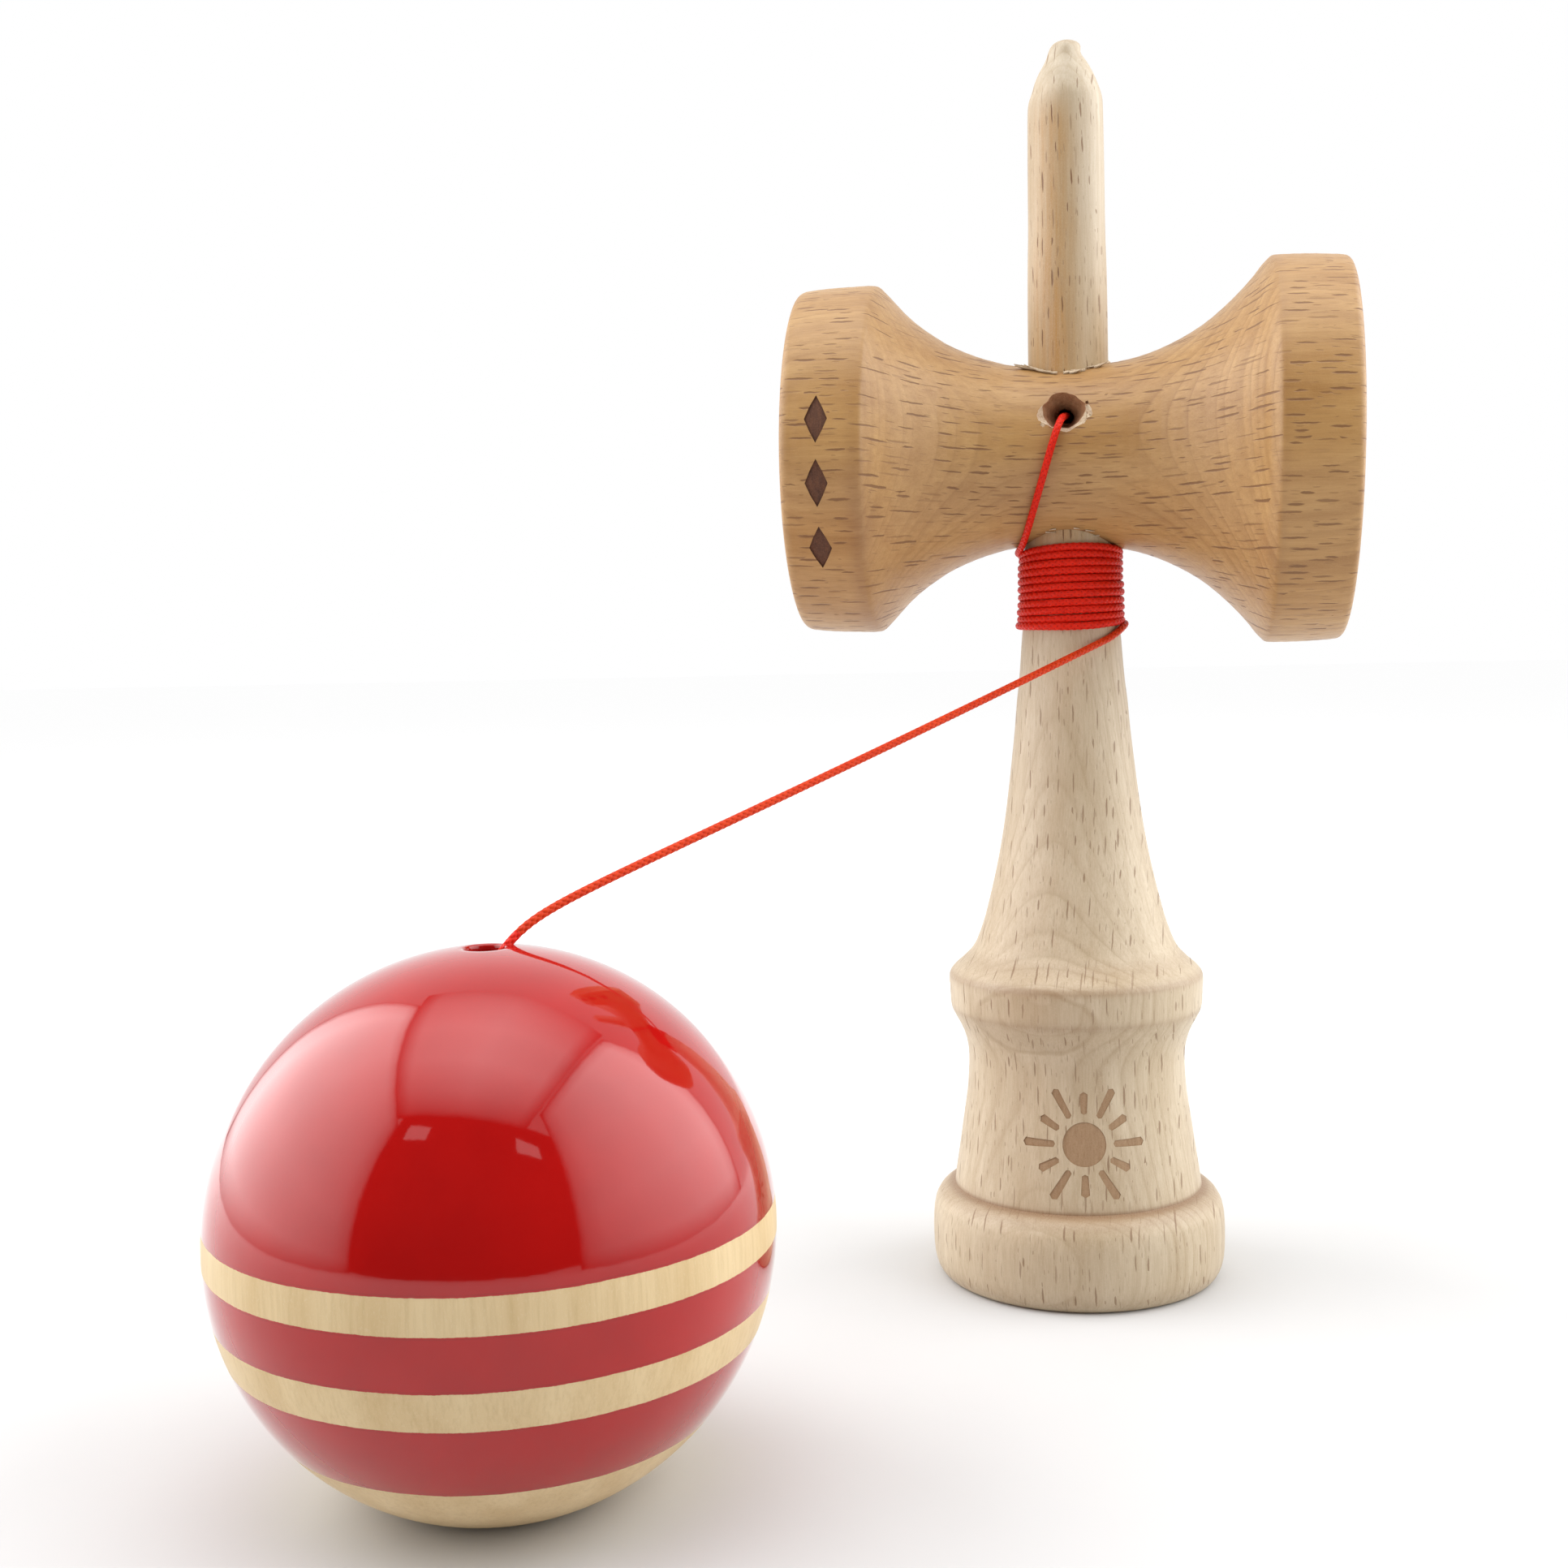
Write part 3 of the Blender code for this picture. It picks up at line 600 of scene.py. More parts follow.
def cord_material(name, tint=(1.0, 1.0, 1.0)):
    """Waxed eight-strand braid: each strand's crown painted lighter and its gaps painted darker, as painted shade
    between the strands.
    """
    t = Tree(name)
    b = t.attribute("braid")
    turn, along, _ = t.split(b)
    step = t.math("MULTIPLY", along, 1 / BRAID_LEAD)
    u = t.math("MULTIPLY", t.math("ADD", turn, step), BRAID_STRANDS)
    v = t.math("MULTIPLY", t.math("SUBTRACT", turn, step), BRAID_STRANDS)
    fu = t.math("SUBTRACT", t.math("FRACT", u), 0.5)
    fv = t.math("SUBTRACT", t.math("FRACT", v), 0.5)
    parity = t.math("FLOORED_MODULO", t.math("ADD", t.math("FLOOR", u), t.math("FLOOR", v)), 2.0)
    over = t.math("LESS_THAN", parity, 0.5)
    sign = t.math("MULTIPLY_ADD", over, 2.0, -1.0)
    cu = t.math("COSINE", t.math("MULTIPLY", fu, math.pi))
    cv = t.math("COSINE", t.math("MULTIPLY", fv, math.pi))
    ha = t.math("MULTIPLY_ADD", t.math("MULTIPLY", sign, cv), 0.55, cu)
    hb = t.math("MULTIPLY_ADD", t.math("MULTIPLY", sign, cu), -0.55, cv)
    h = t.math("DIVIDE", t.math("MAXIMUM", t.math("MAXIMUM", ha, hb), 0.0), 1.55)
    # threads along each strand
    along_a = t.math("MULTIPLY", fu, 34.0)
    along_b = t.math("MULTIPLY", fv, 34.0)
    pick = t.math("GREATER_THAN", ha, hb)
    thread = t.math("SINE", t.math("ADD", t.math("MULTIPLY", along_a, pick),
                                   t.math("MULTIPLY", along_b, t.math("SUBTRACT", 1.0, pick))))
    spot = t.noise(t.join(t.math("MULTIPLY", turn, 4.0), t.math("MULTIPLY", along, 0.9), 0.0), 1.0, 3.0, 0.6)
    slow = t.noise(t.join(0.0, t.math("MULTIPLY", along, 0.06), 3.0), 1.0, 2.0, 0.6)
    crown = t.mix(t.fit(spot, 0.3, 0.7), (0.78, 0.020, 0.006), (0.62, 0.009, 0.003))
    # painted shade: the gaps between strands much darker than the crowns
    base = t.mix(t.fit(h, 0.03, 0.60, smooth=True), (0.36, 0.0022, 0.0012), crown)
    base = t.mix(t.math("MULTIPLY", t.fit(thread, -1, 1), 0.16), base, (0.88, 0.060, 0.018))
    base = t.mix(t.math("MULTIPLY", t.fit(slow, 0.35, 0.7), 0.14), base, (0.40, 0.006, 0.003))
    base = t.vmath("MULTIPLY", base, tint)
    height = t.math("MULTIPLY_ADD", t.math("MULTIPLY", thread, h), 0.07, h)
    normal = t.bump(height, 0.00009, 0.85)
    t.set(base=base, rough=t.fit(h, 0.1, 0.9, 0.50, 0.34), normal=normal, spec=0.15, sheen=0.0,
          sheen_rough=0.4)
    return t.mat


BEECH = wood("beech_ken", (0.640, 0.535, 0.385), (0.488, 0.378, 0.242), (0.190, 0.090, 0.034),
             ring=1.25, ring_tone=0.50, fibre_tone=0.32, spacing=(1.25, 4.2), size=(0.092, 1.15), fleck_tone=0.9,
             fleck_share=0.72, pith=(14.0, 60.0), zone=(-1.8, 5.2, 88.0, 110.0, 0.95),
             lens=(-5.0, 38.1, 8.0, 4.5), coat=0.08)
BEECH_WARM = wood("beech_sarado", (0.510, 0.302, 0.112), (0.362, 0.184, 0.055), (0.180, 0.076, 0.022),
                  ring=1.35, ring_tone=0.60, fibre_tone=0.26, fleck_tone=0.88, spacing=(1.05, 4.4), size=(0.105, 1.50),
                  fleck_share=0.95, pith=(-6.0, 60.0), edge=(0.27, 0.125, 0.045))
BEAD_WOOD = wood("beech_bead", (0.60, 0.45, 0.30), (0.46, 0.32, 0.19), (0.22, 0.12, 0.05), ring=0.9,
                 spacing=(0.9, 2.4), size=(0.06, 0.6), coat=0.0, rough=(0.5, 0.65))
SCORCH = plain_wood("scorched", (0.135, 0.048, 0.018), (0.060, 0.020, 0.008), 0.72)
SCORCH_LIGHT = plain_wood("scorched_lightly", (0.400, 0.262, 0.150), (0.300, 0.182, 0.095), 0.78, grain=(1.6, 1.6, 0.22))
HOLE_WALL = plain_wood("hole_wall", (0.46, 0.26, 0.135), (0.27, 0.125, 0.055), 0.75)
TORN = plain_wood("torn_fibre", (0.74, 0.62, 0.46), (0.50, 0.36, 0.22), 0.82, grain=(0.5, 2.6, 2.6), depth=0.00016)
RED = lacquer("red_lacquer_bands")
STRING = cord_material("red_braid")
# painted light: the free stretch's braid made lighter and more orange
STRING_PAINTED_LIT = cord_material("red_braid_painted_lit", (0.90, 2.3, 0.8))

# ---------------------------------------------------------------------- cords
KEN = np.array([KEN_X, KEN_Y, 0.0])
BALL = np.array([BALL_X, BALL_Y, 0.0])
CORD_R = 0.475      # as it looks; the CAD's cord is 1 mm thick


def neck_r(z):
    return float(np.interp(z, [84.0, 88.0, 91.0, 101.2], [7.05, 6.75, 6.5, 6.2]))


to_ball = BALL[:2] - KEN[:2]
tangent_angle = math.atan2(to_ball[1], to_ball[0]) + math.acos(7.05 / np.linalg.norm(to_ball))
tangent = KEN[:2] + 7.05 * np.array([math.cos(tangent_angle), math.sin(tangent_angle)])
from_ball = -to_ball / np.linalg.norm(to_ball)
run_end = BALL[:2] + from_ball * 3.3
RUN_LENGTH = float(np.linalg.norm(run_end - tangent))
run = (run_end - tangent) / RUN_LENGTH
FIRST_AZ = 195.0                                    # where the winding starts
TURN_END = FIRST_AZ - math.degrees(tangent_angle)   # as a whole angle, clockwise from above
while TURN_END < 4100:
    TURN_END += 360.0


def turn_point(a):
    """A point on the winding after a degrees of it, in mm from the handle's axis."""
    az = math.radians(FIRST_AZ - a)
    side = min(1.0, 1.0 + math.sin(az))
    line = 100.76 - 1.066 * (a - 285.0) / 360.0
    sag = float(np.interp(a, [0, 105, 195, 375, 735, 1095, 1455, 1815],
                          [1.35, 1.2, 1.0, 0.75, 0.4, 0.2, 0.1, 0.0]))
    rise = 0.55 * math.exp(-abs(3885.0 - a) / 540.0)
    z = line - sag * side + rise * side
    z += 0.05 * math.sin(a * 0.0131 + 1.0) * math.sin(math.radians(a) * 0.31)
    r = neck_r(z) + 0.34
    turn = a / 360.0
    r += 0.035 * math.sin(turn * 2.3 + 0.4) + 0.045 * math.sin(turn * 5.1 + math.sin(math.radians(a)))
    keys = [3840, 3885, 3930, 3975, 4020, 4065, 4110, 4140, 4155, 4168, 4180, TURN_END]
    if a > keys[0]:
        zs = [z, 90.10, 90.22, 90.35, 90.15, 89.95, 90.10, 90.33, 90.35, 90.02, 89.38, 88.40]
        rs = [r, 6.88, 6.98, 7.08, 7.08, 7.05, 7.12, 7.28, 7.34, 7.34, 7.22, 7.05]
        z, r = float(np.interp(a, keys, zs)), float(np.interp(a, keys, rs))
    return np.array([r * math.cos(az), r * math.sin(az), z])


lead = [(0.0, 3.4, 118.3), (0.0, 1.0, 118.3), (0.0, -2.0, 118.3), (-0.15, -5.0, 118.15), (-0.4, -8.0, 117.75),
        (-0.6, -10.1, 117.35), (-0.85, -11.55, 116.7), (-1.25, -12.25, 115.6), (-1.87, -12.50, 113.7),
        (-2.87, -12.22, 110.41), (-3.91, -11.00, 107.17), (-4.89, -8.95, 104.36), (-5.69, -6.45, 102.35),
        (-6.27, -4.4, 101.2), (-6.76, -2.6, 100.58), (-7.03, -0.9, 100.30), (-7.0, 0.9, 100.20),
        (-6.65, 2.8, 100.18)]
turns = [turn_point(a) for a in np.arange(52.0, TURN_END, 8.0)]
tail = [turn_point(a) for a in (TURN_END,)]
whole = np.vstack([lead, turns, tail])
# ease the joins of the keyed heights
fine = catmull(whole, 0.05)
for axis in range(3):
    fine[:, axis] = smoothed(fine[:, axis], 9)
LEAD_LENGTH = length_of(catmull(lead, 0.05))
azimuths = np.unwrap(-np.arctan2(fine[:, 1], fine[:, 0]))


def at_angle(a):
    """Index in fine of the winding's angle a."""
    target = turn_point(a)
    near = np.linalg.norm(fine - target, axis=1)
    guess = int(len(fine) * 0.06 + (len(fine) * 0.94) * a / TURN_END)
    window = np.abs(np.arange(len(fine)) - guess) < 900
    near[~window] = 1e9
    return int(np.argmin(near))


JOIN = TURN_END - 132.0          # behind the handle
wound_line = fine[:at_angle(TURN_END - 48.0) + 1] + KEN
free_turn = fine[at_angle(JOIN - 150.0):] + KEN

# the free stretch, in the upright plane through the tangent point
b0, b1, b2, b3 = (np.array(p) for p in ((0.0, 88.4), (86.74, 60.56), (87.74, 62.74), (93.6, 56.92)))
s = np.linspace(0, 1, 600)[:, None]
flat = b0 * (1 - s) ** 3 + 3 * b1 * s * (1 - s) ** 2 + 3 * b2 * s ** 2 * (1 - s) + b3 * s ** 3


def in_plane(points):
    points = np.asarray(points, float)
    return np.column_stack([tangent[0] + run[0] * points[:, 0], tangent[1] + run[1] * points[:, 0], points[:, 1]])


def below(points):
    """(distance from the ball's axis, height) to points."""
    points = np.asarray(points, float)
    return np.column_stack([BALL_X + from_ball[0] * points[:, 0], BALL_Y + from_ball[1] * points[:, 0], points[:, 1]])


AXIS_U = RUN_LENGTH + 3.3
SPLIT_U = AXIS_U - 3.9           # where the cord starts to bend over the hole's rim
span = in_plane(flat)
keep = flat[:, 0] <= SPLIT_U
inner_start = flat[:, 0] > SPLIT_U - 1.2
mouth = below([(1.62, 56.1), (1.38, 54.6), (0.9, 50.0), (0.35, 45.0), (0.0, 40.0), (0.0, 35.0), (0.0, 31.4), (0.12, 29.6), (0.35, 28.2), (0.75, 27.0)])
free_line = np.vstack([free_turn[:-1], span[keep][1:]])
free_line = even(free_line, 0.05)
for axis in range(3):
    free_line[:, axis] = smoothed(free_line[:, axis], 8)
drop_line = catmull(np.vstack([span[inner_start][::6], span[-1:], mouth]), 0.05)

# evenly spaced rings, close where the cord is seen alone
visible = np.linspace(0, 1, 2)
split = at_angle(70.0)
wound_pts = np.vstack([even(wound_line[:split + 1], 0.095)[:-1], even(wound_line[split:], 0.150)])
arc_w = np.concatenate([[0], np.cumsum(np.linalg.norm(np.diff(wound_pts, axis=0), axis=1))])
wound_radius = np.interp(arc_w, [LEAD_LENGTH - 3.0, LEAD_LENGTH + 8.0], [CORD_R, 0.530])
join_at = length_of(wound_line[:at_angle(JOIN) + 1])
wound_radius[arc_w > join_at - 0.3] = 0.40
free_pts = even(free_line, 0.095)
arc_f = np.concatenate([[0], np.cumsum(np.linalg.norm(np.diff(free_pts, axis=0), axis=1))])
hidden = length_of(fine[at_angle(JOIN - 150.0):at_angle(JOIN) + 1])
free_radius = np.full(len(free_pts), CORD_R + 0.004)
free_radius[arc_f < hidden + 0.3] = 0.40
drop_pts = even(drop_line, 0.11)
drop_radius = np.full(len(drop_pts), CORD_R)
drop_radius[np.linalg.norm(drop_pts - drop_pts[0], axis=1) < 1.0] = 0.40

wound = braided_tube("string_wound", wound_pts, wound_radius, [STRING], sides=18)
free = braided_tube("string_free", free_pts, free_radius, [STRING_PAINTED_LIT], sides=20, offset=join_at - hidden)
drop = braided_tube("string_drop_braid", drop_pts, drop_radius, [STRING], sides=20,
                    offset=join_at - hidden + length_of(free_pts))


def knot_points(size, pull=1.0):
    """A tight overhand knot about the origin, both its ends leaving along z, in mm."""
    s = np.linspace(-1.0, 1.0, 121)
    th = s * math.pi * 1.5
    x = (np.sin(th) + 2 * np.sin(2 * th)) * 0.33
    y = (np.cos(th) - 2 * np.cos(2 * th)) * 0.33
    z = -np.sin(3 * th) * 0.42
    return np.column_stack([x, y, z]) * size * pull


anchor = braided_tube("anchor_knot_tied", catmull(knot_points(1.25)[::6] + KEN + [0, 4.1, CORD_HOLE_Z], 0.12),
                      0.45, [STRING], sides=16)
tied = braided_tube("bead_knot_tied", catmull(knot_points(1.35)[::6] + BALL + [0, 0, 29.75], 0.12),
                    0.45, [STRING], sides=16)

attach(wound, "handle")
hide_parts("string_lead", "string_winding")
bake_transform(free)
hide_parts("string_turn", "string_span")
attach(drop, "cord_end")
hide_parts("string_drop")
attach(anchor, "handle")
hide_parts("anchor_knot")
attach(tied, "cord_end")
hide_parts("bead_knot")

# --------------------------------------------------------------------- handle
ken_keys = [(0.0, 168.4), (0.75, 168.36), (1.4, 168.18), (1.95, 167.75), (2.3, 167.1), (2.52, 166.3), (2.75, 165.7),
            (3.12, 165.0), (3.5, 164.35), (3.82, 163.7), (4.12, 163.05), (4.38, 162.4), (4.62, 161.75),
            (4.82, 161.15), (4.95, 160.5), (5.0, 159.6), (5.03, 157.8), (5.1, 151.0), (5.15, 143.0), (5.26, 138.5),
            (5.32, 134.0), (5.37, 125.0), (5.78, 113.0), (6.2, 101.2), (6.5, 91.0), (6.75, 88.0), (7.05, 84.0),
            (7.25, 82.0), (7.5, 80.0), (7.85, 76.0), (8.3, 72.0), (8.78, 68.0), (9.33, 64.0), (10.0, 60.0),
            (10.4, 58.0), (10.83, 56.0), (11.3, 54.0), (11.8, 52.0), (12.33, 50.0), (12.75, 48.7), (13.15, 47.6),
            (13.65, 46.4), (14.35, 45.3), (15.45, 44.2), (16.75, 43.05), (17.22, 42.55), (17.42, 42.05),
            (17.44, 41.3), (17.36, 40.5), (17.3, 38.9), (17.24, 37.8), (17.02, 37.2), (16.5, 36.2), (15.9, 35.1),
            (15.45, 34.0), (15.1, 32.8), (14.9, 31.6), (14.84, 30.2), (14.92, 28.2), (15.1, 25.9), (15.42, 23.6),
            (15.77, 21.3), (16.1, 19.0), (16.45, 16.7), (16.78, 14.6), (16.96, 13.3), (17.06, 12.62)]
ring_keys = [(17.06, 12.62), (17.35, 12.42), (17.9, 12.28), (18.6, 11.85), (19.25, 11.15), (19.75, 10.2),
             (20.02, 9.0), (20.14, 7.6), (20.18, 6.2), (20.15, 4.4), (20.05, 3.0), (19.8, 1.75), (19.4, 0.85),
             (18.95, 0.3), (18.45, 0.02), (17.9, 0.0), (17.3, 0.0), (16.75, 0.03), (16.4, 0.2), (16.12, 0.55)]
centre_z = -math.sqrt(BASE_CUP_SPHERE_R ** 2 - 16.2 ** 2) + 0.35
cup_angles = np.linspace(math.acos(16.05 / BASE_CUP_SPHERE_R), math.pi / 2, 30)
cup_keys = [(BASE_CUP_SPHERE_R * math.cos(a), centre_z + BASE_CUP_SPHERE_R * math.sin(a)) for a in cup_angles]
cup_keys[-1] = (0.0, cup_keys[-1][1])


def dense(keys, spacing, sigma=0.0):
    line = catmull(keys, spacing)
    if sigma:
        line = np.column_stack([smoothed(line[:, 0], sigma), smoothed(line[:, 1], sigma)])
    line[:, 0] = np.clip(line[:, 0], 0, None)
    return line


spike_part = dense(ken_keys[:22], 0.42, 0.6)
body_part = dense(ken_keys[21:], 0.50, 0.7)
ring_part = dense(ring_keys, 0.40, 0.5)
cup_part = dense(cup_keys, 0.9)
ken_line = np.vstack([spike_part[:-1], body_part[:-1], ring_part, cup_part[1:]])
ken_line[0] = (0.0, 168.4)
ken_line[-1, 0] = 0.0


def ken_r(z):
    """Outer radius of the handle at height z, as modelled."""
    outer = np.vstack([spike_part, body_part])[::-1]
    return np.interp(z, outer[:, 1], outer[:, 0])


def ken_worn(r, a, z):
    """Small unevenness: the point is off centre with a chip on its right, the spike isn't
    quite round, and tool marks run round the body."""
    tip = np.clip((z - 158.0) / 10.0, 0, 1)
    dx = 0.17 * tip ** 2
    dy = 0.0 * r
    out = 0.035 * np.sin(2 * a + 0.6 + z * 0.012) + 0.018 * np.sin(3 * a + 2.0 - z * 0.02)
    out *= np.clip(r / 5.0, 0, 1)
    tool = 0.012 * np.sin(z * 5.1 + 0.6 * np.sin(a)) * np.clip((60 - z) / 10, 0, 1)
    # facets where the point was sanded
    facet = -0.09 * tip * (1 - np.cos(5 * (a + 0.3))) * np.clip(r / 3, 0, 1)
    chip = np.exp(-((z - 166.55) / 0.75) ** 2 - ((np.angle(np.exp(1j * (a - 0.05)))) / 0.55) ** 2)
    bite = -0.55 * chip * np.clip(r / 1.2, 0, 1)
    nick = -0.28 * np.exp(-((z - 161.6) / 1.2) ** 2 - (np.angle(np.exp(1j * (a - 3.6))) / 0.5) ** 2)
    total = out + tool + facet + bite + nick
    return dx + total * np.cos(a), dy + total * np.sin(a), 0.0 * z


ken = lathe("ken_turned", ken_line, 176, [BEECH], ken_worn)


def skin_cutter(name, outlines, centre_angle, centre_z, depth, mats, radius_at, high=0.8):
    """A closed cutter whose floor lies depth under a turned surface and whose top stands above it.
    Each outline is a closed list of (mm round, mm up) from the centre, star-shaped about its middle."""
    bm = bmesh.new()
    for outline in outlines:
        pts = np.asarray(outline, float)
        mid = pts.mean(0)
        rows = []
        for share in (1.0, 0.66, 0.33):
            rows.append(mid + (pts - mid) * share)
        layers = []
        for level in (-depth, high):
            made = []
            for row in rows + [mid[None, :]]:
                ring = []
                for u, v in row:
                    z = centre_z + v
                    r_here = float(radius_at(z))
                    a = centre_angle + u / float(radius_at(centre_z))
                    r = r_here + level
                    ring.append(bm.verts.new((r * math.cos(a) * MM, r * math.sin(a) * MM, z * MM)))
                made.append(ring)
            layers.append(made)
        n = len(pts)
        for which, made in enumerate(layers):
            for a_row, b_row in zip(made[:-2], made[1:-1]):
                for k in range(n):
                    m = (k + 1) % n
                    bm.faces.new((a_row[k], a_row[m], b_row[m], b_row[k]))
            for k in range(n):
                m = (k + 1) % n
                bm.faces.new((made[-2][k], made[-2][m], made[-1][0]))
        low, top = layers[0][0], layers[1][0]
        for k in range(n):
            m = (k + 1) % n
            bm.faces.new((low[k], low[m], top[m], top[k]))
    bmesh.ops.recalc_face_normals(bm, faces=bm.faces)
    mesh = bpy.data.meshes.new(name)
    bm.to_mesh(mesh)
    bm.free()
    for m in mats:
        mesh.materials.append(m)
    obj = bpy.data.objects.new(name, mesh)
    bpy.context.scene.collection.objects.link(obj)
    return obj


def cylinder_cutter(name, r_a, r_b, start, end, mats, steps=40, rows=6, flare=None):
    """A closed round cutter from start to end (mm)."""
    start, end = np.array(start, float), np.array(end, float)
    axis = end - start
    length = np.linalg.norm(axis)
    axis /= length
    side = np.cross(axis, [0, 0, 1.0] if abs(axis[2]) < 0.9 else [1.0, 0, 0])
    side /= np.linalg.norm(side)
    other = np.cross(axis, side)
    verts, faces = [], []
    shares = np.linspace(0, 1, rows) if flare is None else np.array([f[0] for f in flare])
    radii = r_a + (r_b - r_a) * shares if flare is None else np.array([f[1] for f in flare])
    for share, r in zip(shares, radii):
        for k in range(steps):
            a = TAU * k / steps
            verts.append(start + axis * length * share + (side * math.cos(a) + other * math.sin(a)) * r)
    for i in range(len(shares) - 1):
        for k in range(steps):
            m = (k + 1) % steps
            faces.append((i * steps + k, i * steps + m, (i + 1) * steps + m, (i + 1) * steps + k))
    faces.append(tuple(range(steps))[::-1])
    faces.append(tuple((len(shares) - 1) * steps + k for k in range(steps)))
    obj = object_from(name, np.array(verts) * MM, faces, mats, smooth=False)
    bm = bmesh.new()
    bm.from_mesh(obj.data)
    bmesh.ops.recalc_face_normals(bm, faces=bm.faces)
    bm.to_mesh(obj.data)
    bm.free()
    return obj


# a plain sunburst, burned in below the collar: a disc and twelve short rays
LOGO_ANGLE, LOGO_Z = math.radians(-90 + 5.2), 21.8
burst = [[(2.9 * math.cos(a), 2.9 * math.sin(a)) for a in np.linspace(0, TAU, 36, endpoint=False)]]
for k in range(12):
    a = TAU * k / 12
    near, far = 4.1, 8.3 if k % 2 == 0 else 6.9
    ray = [(near, -0.42), (0.5 * (near + far), -0.50), (far - 0.35, -0.56), (far, 0.0), (far - 0.35, 0.56),
           (0.5 * (near + far), 0.50), (near, 0.42), (near - 0.22, 0.0)]
    burst.append([(x * math.cos(a) - y * math.sin(a), x * math.sin(a) + y * math.cos(a)) for x, y in ray])
logo_cut = skin_cutter("cut_mark", burst, LOGO_ANGLE, LOGO_Z, 0.11, [SCORCH_LIGHT], ken_r)
cord_hole = cylinder_cutter("cut_cord_hole", 1.25, 1.25, (0, 10.0, CORD_HOLE_Z), (0, -10.0, CORD_HOLE_Z), [HOLE_WALL])
pocket = cylinder_cutter("cut_pocket", 2.3, 2.3, (0, 2.5, CORD_HOLE_Z), (0, 10.5, CORD_HOLE_Z), [HOLE_WALL])
cut_away(ken, [logo_cut, cord_hole, pocket])
co = coordinates(ken) / MM
set_vector(ken, "wood", co)
radius = np.hypot(co[:, 0], co[:, 1])


def band(z, centre, width):
    return np.exp(-((z - centre) / width) ** 2)


# Darker lines at the collar, where the base ring meets the body and at its foot: partly burnish, partly painted shade
# in the creases. The very top of the point is darker too.
ken_burnish_and_shade = (0.50 * band(co[:, 2], 42.25, 0.6) + 0.28 * band(co[:, 2], 37.5, 0.5) + 0.85 * band(co[:, 2], 12.6, 0.40)
            + 0.36 * band(co[:, 2], 11.7, 0.8) + 0.20 * band(co[:, 2], 44.6, 0.9) + 0.12 * band(co[:, 2], 1.6, 0.9)) * (radius > 12)
ken_burnish_and_shade += 0.30 * np.clip((co[:, 2] - 167.2) / 1.2, 0, 1) * 0.6
set_float(ken, "burn", np.clip(ken_burnish_and_shade, 0, 1))
ken.data.shade_smooth()
ken.data.set_sharp_from_angle(angle=math.radians(42))
ken.location = (KEN_X * MM, KEN_Y * MM, 0.0)
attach(ken, "handle")
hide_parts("ken")

# ---------------------------------------------------------------- cross-piece
flank = [(25.42, 29.0), (25.42, 27.6), (25.41, 26.6), (25.30, 26.15), (25.02, 25.85), (24.35, 25.2), (22.75, 23.95), (21.3, 22.65),
         (20.0, 21.35), (18.85, 20.1), (17.8, 18.85), (16.87, 17.6), (16.05, 16.3), (15.32, 15.0), (14.68, 13.7),
         (14.12, 12.45), (13.62, 11.15), (13.2, 9.85), (12.86, 8.6), (12.6, 7.3), (12.38, 6.0), (12.1, 3.5),
         (11.93, 0.0), (11.95, -3.0), (12.12, -5.6), (12.32, -7.4), (12.55, -8.7), (12.92, -10.0), (13.32, -11.4),
         (13.78, -12.7), (14.3, -14.0), (14.93, -15.4), (15.67, -16.8), (16.52, -18.1), (17.48, -19.5),
         (18.58, -20.9), (19.88, -22.3), (21.3, -23.6), (22.55, -24.75), (23.22, -25.4), (23.45, -25.7), (23.55, -26.1),
         (23.6, -27.2), (23.55, -29.0), (23.5, -31.0), (23.4, -33.0), (23.22, -34.9), (23.10, -35.6), (22.84, -36.05),
         (22.3, -36.24), (21.4, -36.28), (20.9, -36.2), (20.6, -36.0), (20.42, -35.7)]
big_end = [(22.35, 35.75), (22.7, 36.02), (23.2, 36.15), (24.0, 36.17), (24.6, 36.02), (24.98, 35.6), (25.1, 34.9),
           (25.22, 33.4), (25.36, 31.2), (25.42, 29.0)]


def dish_keys(end, mouth, toward):
    depth = math.sqrt(CUP_SPHERE_R ** 2 - mouth ** 2)
    centre = end - 0.35 + depth
    edge = math.acos(mouth / CUP_SPHERE_R)
    a = np.linspace(-math.pi / 2, -edge, 34)
    pts = [(CUP_SPHERE_R * math.cos(x), centre + CUP_SPHERE_R * math.sin(x)) for x in a]
    pts[0] = (0.0, pts[0][1])
    return pts if toward > 0 else [(r, -z) for r, z in pts[::-1]]


outer = np.vstack([dense(big_end, 0.30, 0.5)[:-1], dense(flank, 0.32, 0.6)])
sar_line = np.vstack([dense(dish_keys(36.15, 22.15, 1), 0.9)[:-1], outer, dense(dish_keys(36.25, 20.3, -1), 0.9)[1:]])
sar_line[0, 0] = 0.0
sar_line[-1, 0] = 0.0
# the line runs from the big cup's floor (top) out and down to the small cup's floor


def sar_worn(r, a, z):
    out = 0.030 * np.sin(2 * a + 1.1) + 0.020 * np.sin(3 * a + z * 0.1)
    tool = 0.010 * np.sin(z * 4.6 + 0.5 * np.sin(a))
    total = (out + tool) * np.clip(r / 12.0, 0, 1)
    return total * np.cos(a), total * np.sin(a), 0.0 * z


sarado = lathe("sarado_turned", sar_line, 184, [BEECH_WARM], sar_worn)
# local z -> the cross-piece's axis (+X, leaning), local x -> down, local y -> world y
turn = Matrix.Rotation(math.pi / 2 + SARADO_LEAN, 4, "Y")
sarado.data.transform(Matrix.Translation((0, 0, SARADO_Z * MM)) @ turn)


def sar_radius(s_mm):
    line = outer[::-1]
    return np.interp(s_mm, line[:, 1], line[:, 0])


